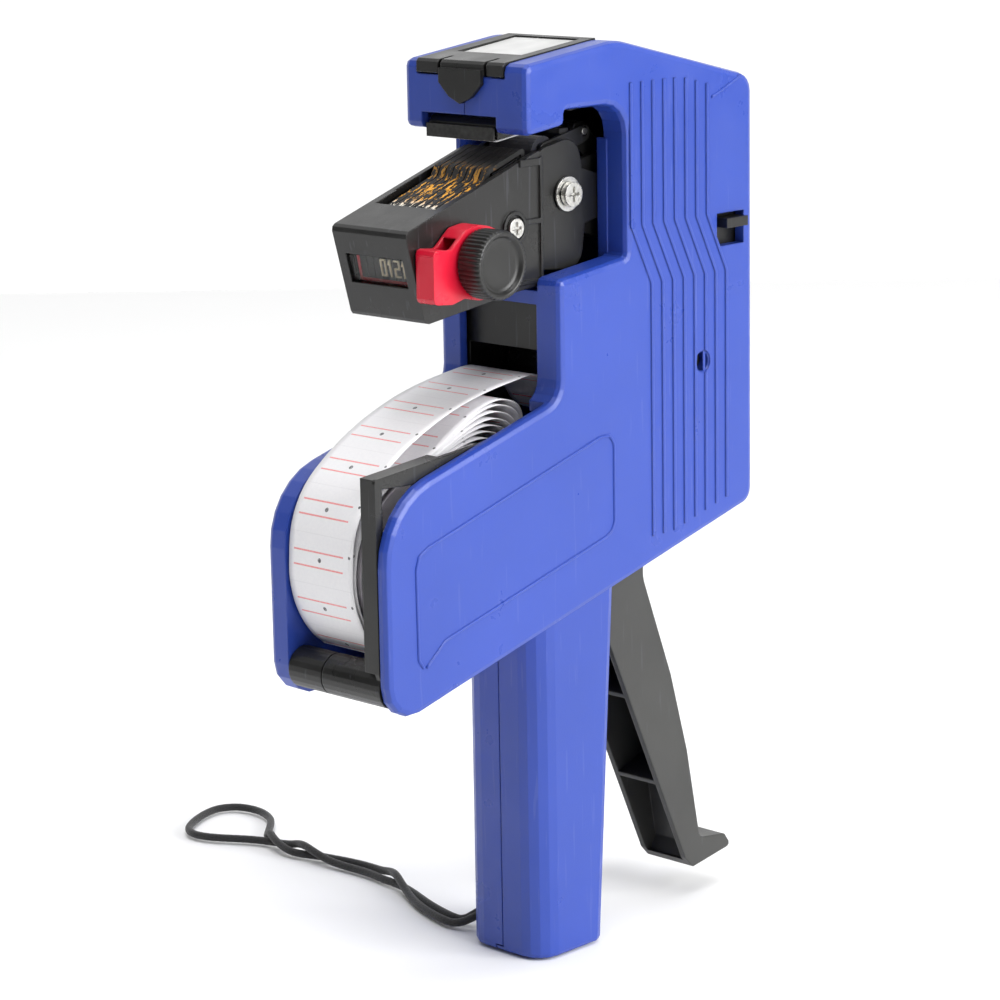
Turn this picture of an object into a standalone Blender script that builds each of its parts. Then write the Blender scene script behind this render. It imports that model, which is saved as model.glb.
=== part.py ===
"""Hand-held price labelling gun, modelled piece by piece.

Units in the named sizes are millimetres; meshes are written in metres, +Z up. The gun stands on the end of
its handle: the nose points to -X and the print knob is on the -Y side. Almost every piece is a profile drawn
in the X-Z plane and given a thickness along Y. The drawing's own zero is beside the handle; every point is
moved so that the finished gun's origin is the middle of the handle's flat end.
"""
import math

import bmesh
import bpy
from mathutils import Matrix, Vector

MM = 0.001
GAP = 0.3            # clearance between pieces that rest on each other
RUN = 0.25           # radial clearance of a pin in its bore

# ---- casing --------------------------------------------------------------------------------------
HALF_WIDTH = 20.0    # half the casing's width
WALL = 2.4           # casing wall round the outline
SIDE_WALL = 2.8      # casing wall on the two flat sides
SEAM = 0.15          # half the gap between the two casing halves
PAST_SEAM = -0.6     # how far a half's hollow is cut past the middle
EDGE_R = 1.5         # rounding of the casing's outer edges

FRONT_X = -61.5      # front of the roll cheeks
BACK_X = 68.5        # back of the casing
WALL_X = -2.5        # front wall between the roll bay and the print arm
NOSE_X = -13.0       # front of the nose
NOSE_Z = 203.0       # lower edge of the nose at its front
NOSE_TOP_Z = 219.5   # upper edge of the nose at its front
TOP_SLOPE = 0.122    # rise of the nose's top and underside per unit of length
CHEEK_SLOPE = 0.256  # rise of the casing's slanted underside
RECESS_X = 21.5      # rear end of the side recess that the print arm swings in
RECESS_TOP = 208.2
RECESS_FLOOR = 168.4

# ---- handle --------------------------------------------------------------------------------------
HANDLE_X = 6.6       # middle of the handle's flat end
HANDLE_Z = -2.5      # height of the handle's flat end
HANDLE_HALF_X = 11.6
HANDLE_HALF_Y = 13.0
HANDLE_TAPER = 0.064  # the handle's back leans backwards this much per unit of height
HANDLE_FRONT_R = 6.5
HANDLE_BACK_R = 2.5
HANDLE_TOP = 97.0
BASE_THICK = 2.6
LAP_Y = 2.2          # the -Y half's floor reaches this far past the middle, under the other half's
LAP_Z = 1.3
CORD_HOLE_X = 5.9
CORD_HOLE_Z = HANDLE_Z + 5.3

# ---- label roll and strip ------------------------------------------------------------------------
STRIP_WIDTH = 21.5
STRIP_THICK = 0.35
STRIP_Y = 2.5        # middle of the strip, which runs a little off the casing's middle
ROLL = (-36.3, 104.5)
ROLL_R = 22.0
CORE_R = 12.5
CORE_WALL = 1.3
LOOSE_R = 23.7
LOOSE_THICK = 1.2
LOOSE_BULGE = 15.5   # how far the slack turns stand out towards the slot
LOOSE_ANGLE = 53.0   # direction in which they stand out, in degrees above +X
CHEEK_LINER_Y = 14.0  # inner face of the thick cheek on the +Y side

# ---- pivots, as (x, z) ---------------------------------------------------------------------------
LEVER_PIVOT = (49.3, 142.0)
ARM_PIVOT = (10.5, 187.0)
SELECTOR_AXIS = (-27.5, 175.4)
FEED_AXIS = (23.5, 143.0)
LINK_LOW = (57.3, 146.0)
LINK_HIGH = (28.5, 185.0)
PAWL_PIVOT = (40.5, 118.0)
COVER_HINGE = (-56.8, 80.0)
LID_HINGE = (21.2, 221.0)
INK_PIVOT = (19.5, 201.0)
INK_AXIS = (6.0, 197.0)

LEVER_PIN_R = 2.2
ARM_PIN_R = 2.0
FEED_AXLE_R = 1.5
LINK_PIN_R = 1.4
SMALL_PIN_R = 0.9

# ---- trigger lever -------------------------------------------------------------------------------
LEVER_HALF_Y = 7.75
LEVER_WALL = 1.6
LEVER_SLOT_Y = 8.6

# ---- print arm -----------------------------------------------------------------------------------
HEAD_HALF_Y = 12.2
HEAD_WALL = 1.6
YOKE_Y = 10.3        # outer face of the arm's inner plates
YOKE_THICK = 1.2
BAND_COUNT = 8
BAND_PITCH = 2.25
BAND_WIDTH = 1.9
BAND_THICK = 1.1
BAND_WEB = 0.4       # the web that joins the bands on their inside
HEAD_SCREW = (-9.6, 181.0)
KNOB_R = 8.2
KNOB_IN_Y = -18.6
KNOB_OUT_Y = -25.6

# ---- top cover -----------------------------------------------------------------------------------
LID_Y = 1.3          # middle of the cover
LID_HALF_Y = 14.2
LID_PIN_R = 0.7

SCREWS = [(61.0, 113.0), (61.0, 203.0), (44.0, 207.0), (HANDLE_X - 3.4, HANDLE_Z + 15.0), (-2.0, 95.0)]
SCREW_SHANK_R = 1.25
SCREW_HEAD_R = 2.7
BOSS_R = 3.6


# ==================================================================================================
# scene, collections and materials
# ==================================================================================================
for old in list(bpy.data.objects):
    bpy.data.objects.remove(old, do_unlink=True)

ORIGIN = Vector((HANDLE_X, 0.0, HANDLE_Z))

PARTS = bpy.data.collections.new("price_labeling_gun")
CUTTERS = bpy.data.collections.new("cutters")
bpy.context.scene.collection.children.link(PARTS)
bpy.context.scene.collection.children.link(CUTTERS)


def make_material(name, color, roughness, metallic=0.0):
    material = bpy.data.materials.new(name)
    material.use_nodes = True
    shader = material.node_tree.nodes["Principled BSDF"]
    shader.inputs["Base Color"].default_value = (*color, 1.0)
    shader.inputs["Roughness"].default_value = roughness
    shader.inputs["Metallic"].default_value = metallic
    material.diffuse_color = (*color, 1.0)
    return material


BLUE = make_material("blue_abs", (0.045, 0.07, 0.55), 0.35)
BLACK = make_material("black_abs", (0.025, 0.025, 0.024), 0.45)
GREY = make_material("dark_grey_abs", (0.09, 0.09, 0.09), 0.5)
RED = make_material("red_abs", (0.75, 0.02, 0.07), 0.3)
STEEL = make_material("zinc_plated_steel", (0.62, 0.62, 0.6), 0.28, 1.0)
RUBBER = make_material("type_rubber", (0.03, 0.028, 0.025), 0.6)
PAPER = make_material("label_paper", (0.85, 0.84, 0.86), 0.7)
CARD = make_material("core_plastic", (0.45, 0.4, 0.34), 0.7)
CLEAR = make_material("cover_window_plastic", (0.72, 0.72, 0.68), 0.25)
CORD = make_material("braided_cord", (0.02, 0.018, 0.016), 0.85)
FELT = make_material("ink_foam", (0.01, 0.01, 0.02), 0.9)


# ==================================================================================================
# outlines in the X-Z plane
# ==================================================================================================
def offset_corners(corners, inset):
    """Move every side of a counter-clockwise outline inwards; the corner radii follow."""
    count = len(corners)
    lines = []
    for i in range(count):
        a = Vector(corners[i][:2])
        b = Vector(corners[(i + 1) % count][:2])
        run = (b - a).normalized()
        inward = Vector((-run.y, run.x))
        lines.append((a + inward * inset, run))
    moved = []
    for i in range(count):
        (p, d), (q, e) = lines[i - 1], lines[i]
        cross = d.x * e.y - d.y * e.x
        t = ((q - p).x * e.y - (q - p).y * e.x) / cross
        spot = p + d * t
        radius = corners[i][2]
        radius = radius - inset if cross > 0 else radius + inset
        moved.append((spot.x, spot.y, max(radius, 0.05)))
    return moved


def arc_steps(radius):
    """Segments for a rounded corner: more on a larger radius."""
    return 1 if radius < 0.6 else 2 if radius < 2.6 else 4 if radius < 9 else 6


def round_outline(corners, like=None):
    """Points of an outline whose corners are arcs. like gives the corners that set the segment counts."""
    points = []
    count = len(corners)
    for i in range(count):
        here = Vector(corners[i][:2])
        radius = corners[i][2]
        steps = arc_steps((like or corners)[i][2])
        back = (Vector(corners[i - 1][:2]) - here).normalized()
        ahead = (Vector(corners[(i + 1) % count][:2]) - here).normalized()
        half = math.acos(max(-1.0, min(1.0, back.dot(ahead)))) / 2
        reach = radius / math.tan(half)
        centre = here + (back + ahead).normalized() * (radius / math.sin(half))
        start = here + back * reach - centre
        end = here + ahead * reach - centre
        turn = math.atan2(start.x * end.y - start.y * end.x, start.dot(end))
        for k in range(steps + 1):
            a = turn * k / steps
            points.append((centre.x + start.x * math.cos(a) - start.y * math.sin(a),
                           centre.y + start.x * math.sin(a) + start.y * math.cos(a)))
    return points


# ==================================================================================================
# solids
# ==================================================================================================
def place(x, y, z):
    """A drawn point, in metres from the gun's origin."""
    return (Vector((x, y, z)) - ORIGIN) * MM


def add_object(name, mesh, material=None, cutter=False):
    obj = bpy.data.objects.new(name, mesh)
    (CUTTERS if cutter else PARTS).objects.link(obj)
    if cutter:
        obj.hide_render = True
        obj.display_type = 'WIRE'
    else:
        mesh.materials.append(material)
    return obj


def loft(name, rings, material=None, cutter=False):
    """A closed body through rings of the same number of points, in millimetres."""
    bm = bmesh.new()
    rows = [[bm.verts.new(place(*p)) for p in ring] for ring in rings]
    count = len(rows[0])
    for low, high in zip(rows, rows[1:]):
        for i in range(count):
            j = (i + 1) % count
            bm.faces.new((low[i], low[j], high[j], high[i]))
    bm.faces.new(rows[0])
    bm.faces.new(rows[-1])
    bmesh.ops.recalc_face_normals(bm, faces=bm.faces)
    mesh = bpy.data.meshes.new(name)
    bm.to_mesh(mesh)
    bm.free()
    return add_object(name, mesh, material, cutter)


def lay_along_y(bm, centre, y0, y1):
    """Turn a body that stands on its own Z so that it runs along Y, with both ends exactly flat."""
    low, high = min(y0, y1), max(y0, y1)
    for v in bm.verts:
        v.co = place(centre[0] + v.co.x / MM, low if v.co.z > 0 else high, centre[1] + v.co.y / MM)


def plate(name, outline, y0, y1, material=None, cutter=False):
    """A flat outline in X-Z with a thickness along Y, from a filled 2D curve."""
    curve = bpy.data.curves.new(name, 'CURVE')
    curve.dimensions = '2D'
    curve.fill_mode = 'BOTH'
    curve.extrude = abs(y1 - y0) / 2 * MM
    spline = curve.splines.new('POLY')
    spline.points.add(len(outline) - 1)
    for point, (x, z) in zip(spline.points, outline):
        point.co = (x * MM, z * MM, 0, 1)
    spline.use_cyclic_u = True
    source = bpy.data.objects.new(name + "_curve", curve)
    bpy.context.scene.collection.objects.link(source)
    bpy.context.view_layer.update()
    graph = bpy.context.evaluated_depsgraph_get()
    mesh = bpy.data.meshes.new_from_object(source.evaluated_get(graph))
    bpy.data.objects.remove(source)
    bpy.data.curves.remove(curve)
    mesh.materials.clear()
    bm = bmesh.new()
    bm.from_mesh(mesh)
    bmesh.ops.remove_doubles(bm, verts=bm.verts, dist=0.00001)
    lay_along_y(bm, (0.0, 0.0), y0, y1)
    bm.normal_update()
    inside_ends = [e for e in bm.edges if len(e.link_faces) == 2
                   and all(abs(f.normal.y) > 0.99 for f in e.link_faces)]
    bmesh.ops.dissolve_edges(bm, edges=inside_ends, use_verts=False)
    bmesh.ops.recalc_face_normals(bm, faces=bm.faces)
    bm.to_mesh(mesh)
    bm.free()
    mesh.name = name
    return add_object(name, mesh, material, cutter)


def box(name, low, high, material=None, cutter=False):
    bm = bmesh.new()
    bmesh.ops.create_cube(bm, size=1.0)
    for v in bm.verts:
        v.co = place(*((low[i] + high[i]) / 2 + v.co[i] * (high[i] - low[i]) for i in range(3)))
    mesh = bpy.data.meshes.new(name)
    bm.to_mesh(mesh)
    bm.free()
    return add_object(name, mesh, material, cutter)


def smooth(obj):
    obj.data.shade_smooth()
    obj.data.set_sharp_from_angle(angle=math.radians(35))


def rod(name, centre, radius, y0, y1, material=None, cutter=False, sides=20):
    """A round bar along Y."""
    bm = bmesh.new()
    bmesh.ops.create_cone(bm, cap_ends=True, segments=sides, radius1=radius * MM, radius2=radius * MM,
                          depth=abs(y1 - y0) * MM)
    lay_along_y(bm, centre, y0, y1)
    bmesh.ops.recalc_face_normals(bm, faces=bm.faces)
    mesh = bpy.data.meshes.new(name)
    bm.to_mesh(mesh)
    bm.free()
    obj = add_object(name, mesh, material, cutter)
    smooth(obj)
    return obj


def turned(name, profile, centre, material, steps=32):
    """A turned piece on a Y axis. profile is a closed loop of (radius, y), its outer side towards +Y."""
    bm = bmesh.new()
    ring = [bm.verts.new((r * MM, 0, y * MM)) for r, y in profile]
    for a, b in zip(ring, ring[1:] + ring[:1]):
        bm.edges.new((a, b))
    mesh = bpy.data.meshes.new(name)
    bm.to_mesh(mesh)
    bm.free()
    obj = add_object(name, mesh, material)
    obj.location = place(centre[0], 0.0, centre[1])
    obj.rotation_euler = (math.radians(-90), 0, 0)
    mod = obj.modifiers.new("turn", 'SCREW')
    mod.steps = steps
    mod.render_steps = steps
    mod.use_merge_vertices = True
    mod.merge_threshold = 0.00001
    mod.use_smooth_shade = True
    mod.use_normal_flip = True
    return obj


def tube(name, points, radius, material, cyclic=False, sides=2):
    """A wire or cord through points in millimetres."""
    curve = bpy.data.curves.new(name, 'CURVE')
    curve.dimensions = '3D'
    curve.bevel_depth = radius * MM
    curve.bevel_resolution = sides
    curve.use_fill_caps = not cyclic
    spline = curve.splines.new('POLY')
    spline.points.add(len(points) - 1)
    for point, co in zip(spline.points, points):
        point.co = (*place(*co), 1)
    spline.use_cyclic_u = cyclic
    curve.materials.append(material)
    obj = bpy.data.objects.new(name, curve)
    PARTS.objects.link(obj)
    return obj


def smooth_curve(points, per_span, closed=False):
    """Points of a Catmull-Rom curve through the given points."""
    count = len(points)
    spans = count if closed else count - 1
    result = []
    for i in range(spans):
        if closed:
            p0, p1, p2, p3 = (Vector(points[(i + k) % count]) for k in (-1, 0, 1, 2))
        else:
            p0, p1, p2, p3 = (Vector(points[min(max(i + k, 0), count - 1)]) for k in (-1, 0, 1, 2))
        for k in range(per_span):
            t = k / per_span
            result.append(0.5 * ((2 * p1) + (p2 - p0) * t + (2 * p0 - 5 * p1 + 4 * p2 - p3) * t * t
                                 + (3 * p1 - p0 - 3 * p2 + p3) * t ** 3))
    if not closed:
        result.append(Vector(points[-1]))
    return result


def boolean(obj, other, operation):
    mod = obj.modifiers.new(other.name, 'BOOLEAN')
    mod.operation = operation
    mod.object = other
    mod.solver = 'EXACT'


def cut(obj, *others):
    for other in others:
        boolean(obj, other, 'DIFFERENCE')


def join(obj, *others):
    for other in others:
        boolean(obj, other, 'UNION')


def pivot_empty(name, spot, y=0.0):
    """An empty on a joint's axis; the pieces that turn on it are its children."""
    empty = bpy.data.objects.new(name, None)
    empty.location = place(spot[0], y, spot[1])
    empty.empty_display_size = 0.01
    PARTS.objects.link(empty)
    return empty


def carry(empty, *pieces):
    for piece in pieces:
        piece.parent = empty
        piece.matrix_parent_inverse = Matrix.Translation(-empty.location)


# ==================================================================================================
# casing halves
# ==================================================================================================
def underside(x):
    return 74.0 + CHEEK_SLOPE * (x + 48.5)


def cheek_top(x):
    return 127.8 + 0.2713 * (x + 46.9)


def nose_under(x):
    return NOSE_Z + TOP_SLOPE * (x - NOSE_X)


def nose_top(x):
    return NOSE_TOP_Z + TOP_SLOPE * (x - NOSE_X)


def rear_top(x):
    return 222.7 - 0.2423 * (x - 21.7)


CASING = [
    (NOSE_X, nose_under(NOSE_X), 1.6),
    (0.3, nose_under(0.3), 1.6),
    (0.3, RECESS_TOP, 0.8),
    (RECESS_X, RECESS_TOP, 7.0),
    (RECESS_X, RECESS_FLOOR + 2.8, 1.2),
    (WALL_X, RECESS_FLOOR, 1.6),
    (WALL_X, cheek_top(WALL_X), 6.0),
    (FRONT_X, cheek_top(FRONT_X), 19.5),
    (FRONT_X, underside(FRONT_X), 8.0),
    (BACK_X, underside(BACK_X), 4.0),
    (BACK_X, rear_top(BACK_X), 5.0),
    (18.9, nose_top(18.9), 20.0),
    (NOSE_X, NOSE_TOP_Z, 2.0),
]


def handle_ring(z, inset, side, inner=SEAM):
    """One half of the handle's plan at height z, from inner outwards; side is -1 or +1."""
    front = HANDLE_X - HANDLE_HALF_X + inset
    back = HANDLE_X + HANDLE_HALF_X + HANDLE_TAPER * (z - HANDLE_Z) - inset
    edge = HANDLE_HALF_Y - inset
    corners = [(front, -inner, 0.05), (front, -edge, HANDLE_FRONT_R - inset),
               (back, -edge, max(HANDLE_BACK_R - inset, 0.3)), (back, -inner, 0.05)]
    like = [(0, 0, 0.05), (0, 0, HANDLE_FRONT_R), (0, 0, HANDLE_BACK_R), (0, 0, 0.05)]
    ring = [(x, y if side < 0 else -y, z) for x, y in round_outline(corners, like)]
    return ring if side < 0 else ring[::-1]


def casing_half(name, side):
    """One half of the casing with its half of the handle. side is -1 for the knob side, +1 for the other."""
    rings = []
    for depth, inset in ((0.0, EDGE_R), (0.293 * EDGE_R, 0.293 * EDGE_R), (EDGE_R, 0.0)):
        y = side * (HALF_WIDTH - depth)
        rings.append([(x, y, z) for x, z in round_outline(offset_corners(CASING, inset), CASING)])
    rings.append([(x, side * SEAM, z) for x, z in round_outline(CASING)])
    shell = loft(name, rings, BLUE)
    lap, lap_top = (-LAP_Y, LAP_Z) if side < 0 else (LAP_Y + GAP, LAP_Z + GAP)
    handle_rings = [handle_ring(HANDLE_Z, 1.2, side, lap), handle_ring(HANDLE_Z + 0.35, 0.35, side, lap),
                    handle_ring(HANDLE_Z + 1.2, 0.0, side, lap), handle_ring(HANDLE_Z + lap_top, 0.0, side,
                        lap),
                    handle_ring(HANDLE_Z + lap_top + 0.05, 0.0, side), handle_ring(HANDLE_TOP, 0.0, side)]
    join(shell, loft(name + "_handle", handle_rings, cutter=True))

    inner = offset_corners(CASING, WALL)
    body_only = inner[:6] + [(WALL_X + WALL, underside(WALL_X) + WALL + 0.3, 0.5)] + inner[9:]
    side_y = side * (HALF_WIDTH - SIDE_WALL)
    beyond = side * PAST_SEAM
    if side < 0:
        cut(shell, plate(name + "_hollow", round_outline(inner), beyond, side_y, cutter=True))
        bay_y = side_y
    else:
        cut(shell, plate(name + "_hollow", round_outline(inner), beyond, CHEEK_LINER_Y, cutter=True),
            plate(name + "_hollow_body", round_outline(body_only), CHEEK_LINER_Y - 1.0, side_y, cutter=True))
        bay_y = CHEEK_LINER_Y
    well = [handle_ring(HANDLE_Z + BASE_THICK, WALL, side, PAST_SEAM), handle_ring(HANDLE_TOP + 3, WALL,
        side, PAST_SEAM)]
    cut(shell, loft(name + "_handle_hollow", well, cutter=True))
    bay = [(-80, 60), (-50.5, 60), (-50.5, 95), (-5.4, 120), (-5.4, 150), (-80, 150)]
    cut(shell, plate(name + "_roll_bay", bay, beyond, bay_y, cutter=True))
    return shell


def shared_cuts():
    """Openings that pass through both casing halves."""
    strip_low = STRIP_Y - STRIP_WIDTH / 2
    strip_high = STRIP_Y + STRIP_WIDTH / 2
    return [
        box("strip_slot", (-9, -12.3, 134), (1, 13.4, 162), cutter=True),
        box("arm_bay", (-9, -12.7, 165.3), (24.6, strip_high + 0.45, 212), cutter=True),
        box("nose_mouth", (NOSE_X + WALL, -12.7, 198), (1, strip_high + 0.45, 212), cutter=True),
        box("nose_notch", (NOSE_X - 3, strip_low - 1.9, 198), (NOSE_X + 4, strip_high + 1.2, 207.2),
            cutter=True),
        box("lid_opening", (NOSE_X - 3, LID_Y - LID_HALF_Y - GAP, 216.2),
            (LID_HINGE[0] + 2.0, LID_Y + LID_HALF_Y + GAP, 230), cutter=True),
        box("lever_slot_low", (5.5, -LEVER_SLOT_Y, 8), (32, LEVER_SLOT_Y, 86), cutter=True),
        box("lever_slot_high", (5.0, -LEVER_SLOT_Y, 78), (44.5, LEVER_SLOT_Y, 108), cutter=True),
        rod("lid_pin_bore", LID_HINGE, 1.0, LID_Y - LID_HALF_Y - 2.4, LID_Y + LID_HALF_Y + 2.4,
            cutter=True, sides=12),
    ]


def casing_bosses(shell, side):
    """Screw bosses and the seats of the lever pin and the feed axle, on the inside of one half."""
    inside = side * (HALF_WIDTH - SIDE_WALL + 0.5)
    for i, spot in enumerate(SCREWS):
        join(shell, rod(f"{shell.name}_boss_{i}", spot, BOSS_R, side * (screw_face(spot[1]) - 1.8),
            side * SEAM,
                        cutter=True, sides=14))
    for label, spot, radius in (("lever", LEVER_PIVOT, 4.8), ("feed", FEED_AXIS, 3.6)):
        join(shell, rod(f"{shell.name}_{label}_seat", spot, radius, inside, side * 15.4, cutter=True,
                        sides=18))
    lever_out = side * 30 if side < 0 else 17.4
    cut(shell, rod(f"{shell.name}_lever_bore", LEVER_PIVOT, LEVER_PIN_R + RUN, lever_out, side * 13,
                   cutter=True, sides=24),
        rod(f"{shell.name}_feed_bore", FEED_AXIS, FEED_AXLE_R + RUN, side * 17.4, side * 13,
            cutter=True, sides=14))


def raised_ribs(shell):
    """Eight raised lines down the knob side: straight, a slanted jog, straight again."""
    top, bend, after, end = 213.0, 178.5, 164.0, 101.0
    jog, pitch, first, width = 7.2, 4.0, 22.6, 0.9
    for i in range(8):
        x = first + pitch * i
        low = max(end, underside(x + jog) + 5.0)
        high = min(top, rear_top(x) - 5.0)
        line = [(x, high), (x, bend), (x + jog, after), (x + jog, low),
                (x + jog + width, low), (x + jog + width, after), (x + width, bend), (x + width, high)]
        join(shell, plate(f"rib_{i}", line[::-1], -HALF_WIDTH - 0.35, -HALF_WIDTH + 0.6, cutter=True))


def screw_face(z):
    """The +Y face that a casing screw's head sits in, at height z."""
    return HANDLE_HALF_Y if z < 60 else HALF_WIDTH


def cut_cross(screw, centre, reach, y0, y1):
    """A cross recess in a screw's head."""
    x, z = centre
    for i, (across, up) in enumerate(((reach, 0.35), (0.35, reach))):
        cut(screw, box(f"{screw.name}_cross_{i}", (x - across, y0, z - up), (x + across, y1, z + up),
            cutter=True))


def build_casing():
    right = casing_half("casing_right", -1)
    left = casing_half("casing_left", 1)
    floor_plate = [(-0.5, 168.4), (22.6, 170.6), (22.6, 209.3), (-0.5, 209.3)]
    join(left, plate("recess_floor", floor_plate, 14.0, 15.4, cutter=True))
    for shell, side in ((right, -1), (left, 1)):
        casing_bosses(shell, side)
    openings = shared_cuts()
    cut(right, *openings)
    cut(left, *openings)
    cut(right, box("tab_window", (54.8, -22, 170.0), (65.1, -15, 178.2), cutter=True))
    raised_ribs(right)
    cut(right, rod("pin_hole_mouth", LEVER_PIVOT, LEVER_PIN_R + RUN + 0.35, -HALF_WIDTH - 3,
                   -HALF_WIDTH + 0.4, cutter=True, sides=24))
    for i, spot in enumerate(SCREWS):
        face = screw_face(spot[1])
        cut(left, rod(f"screw_head_bore_{i}", spot, SCREW_HEAD_R + GAP, face - 1.9, face + 3, cutter=True,
            sides=16),
            rod(f"screw_bore_{i}", spot, SCREW_SHANK_R + RUN, -1, face + 1, cutter=True, sides=12))
        cut(right, rod(f"screw_blind_{i}", spot, SCREW_SHANK_R + RUN, 1, -11, cutter=True, sides=12))
    x0, x1, z0, z1 = CORD_HOLE_X - 4.4, CORD_HOLE_X + 4.4, CORD_HOLE_Z - 2.1, CORD_HOLE_Z + 2.1
    hole = round_outline([(x0, z0, 1.9), (x1, z0, 1.9), (x1, z1, 1.9), (x0, z1, 1.9)])
    cut(left, plate("cord_hole", hole, HANDLE_HALF_Y - WALL - 1.5, HANDLE_HALF_Y + 1.5, cutter=True))
    return right, left


def casing_fasteners():
    """Self-tapping screws from the +Y side, and the steel pins and axles that the casing halves hold."""
    for i, (x, z) in enumerate(SCREWS):
        face = screw_face(z)
        screw = rod(f"casing_screw_{i + 1}", (x, z), SCREW_HEAD_R, face - 1.6, face - 0.3, STEEL, sides=16)
        join(screw, rod(f"screw_shank_{i + 1}", (x, z), SCREW_SHANK_R, -9, face - 1.0, cutter=True,
            sides=10))
        cut_cross(screw, (x, z), 1.6, face - 0.8, face + 1)
    rod("lever_pin", LEVER_PIVOT, LEVER_PIN_R, -17.0, 17.0, STEEL)
    rod("feed_axle", FEED_AXIS, FEED_AXLE_R, -16.8, 16.8, STEEL, sides=14)
    rod("lid_hinge_pin", LID_HINGE, LID_PIN_R, LID_Y - LID_HALF_Y - 2.0, LID_Y + LID_HALF_Y + 2.0, STEEL,
        sides=10)


# ==================================================================================================
# strip guides, platen and arm bracket, all fixed to the casing
# ==================================================================================================
def fixed_frames():
    """The black inner frame that carries the print arm, the strip chute, the platen and the peel bar."""
    ears = round_outline([(5.0, 181.5, 3.5), (26.4, 174.0, 1.0), (26.4, 196.0, 1.0), (5.0, 192.2, 3.5)])
    bracket = plate("arm_bracket", ears, -8.4, 8.4, BLACK)
    cut(bracket, box("ear_gap", (0, -6.6, 170), (24.4, 6.6, 200), cutter=True),
        rod("ear_bore", ARM_PIVOT, ARM_PIN_R + RUN, -20, 20, cutter=True))
    join(bracket, box("bracket_foot", (24.6, 7.0, 176.0), (26.2, 16.9, 194.0), cutter=True))
    join(bracket, plate("ink_lugs", round_outline([(17.0, 198.6, 1.6), (22.0, 194.0, 0.5), (26.2, 194.0,
        0.5),
                                                   (26.2, 198.0, 1.0), (21.5, 203.2, 1.8), (17.6, 203.2,
                                                       1.8)]),
                        -6.4, 6.4, cutter=True))
    cut(bracket, rod("ink_bore", INK_PIVOT, SMALL_PIN_R + RUN, -20, 20, cutter=True, sides=12))
    rod("arm_pivot_shaft", ARM_PIVOT, ARM_PIN_R, -10.2, 10.2, STEEL)
    rod("ink_hinge_pin", INK_PIVOT, SMALL_PIN_R, -8.4, 8.4, STEEL, sides=12)

    chute = box("label_chute", (1.0, -12.0, 128.0), (19.0, 14.6, 163.4), BLACK)
    cut(chute, box("chute_gap", (-1, -10.8, 120), (25, 13.4, 150.2), cutter=True),
        box("chute_gap_top", (3.4, -10.8, 149), (25, 13.4, 170), cutter=True))

    under = [(-11.4, 201.65), (0.0, 203.08), (0.0, 206.4), (-10.2, 206.4), (-11.4, 205.0)]
    plate("platen", under, STRIP_Y - STRIP_WIDTH / 2 - 0.8, STRIP_Y + STRIP_WIDTH / 2 + 0.2, BLACK)
    peel = [(-12.6, 201.4), (-11.8, 201.5), (-11.8, 204.6), (-12.6, 204.6)]
    plate("peel_bar", peel, STRIP_Y - STRIP_WIDTH / 2 - 0.4, STRIP_Y + STRIP_WIDTH / 2, STEEL)


# ==================================================================================================
# roll, slack turns, strip and the roll cover
# ==================================================================================================
def label_supply():
    low, high = STRIP_Y - STRIP_WIDTH / 2, STRIP_Y + STRIP_WIDTH / 2
    core_in = CORE_R - CORE_WALL
    hub = turned("roll_hub", [(core_in - RUN - 0.1, low + 1.0), (core_in - RUN - 0.1, high + 0.3),
                              (core_in - 2.2, high + 0.3), (core_in - 2.2, low + 1.0)], ROLL, BLACK, 28)
    join(hub, rod("hub_web", ROLL, core_in - 1.2, high - 2.0, CHEEK_LINER_Y - 0.35, cutter=True, sides=28))
    core = turned("roll_core", [(CORE_R, low), (CORE_R, high), (core_in, high), (core_in, low)], ROLL,
        CARD, 32)
    roll = turned("label_roll", [(ROLL_R, low + 0.1), (ROLL_R, high - 0.1), (CORE_R + 0.3, high - 0.1),
                                 (CORE_R + 0.3, low + 0.1)], ROLL, PAPER, 40)
    carry(pivot_empty("roll_axis", ROLL), core, roll)

    def loop(radius, bulge, points=44):
        outline = []
        for i in range(points):
            a = 360.0 * i / points
            away = (a - LOOSE_ANGLE + 180) % 360 - 180
            r = radius + bulge * math.exp(-(away / 22.0) ** 2)
            outline.append((ROLL[0] + r * math.cos(math.radians(a)),
                ROLL[1] + r * math.sin(math.radians(a))))
        return outline
    slack = plate("loose_turns", loop(LOOSE_R, LOOSE_BULGE), low, high, PAPER)
    cut(slack, plate("loose_inside", loop(LOOSE_R - LOOSE_THICK, LOOSE_BULGE - 9.5), low - 1, high + 1,
        cutter=True))

    strip_path(low, high)


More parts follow.
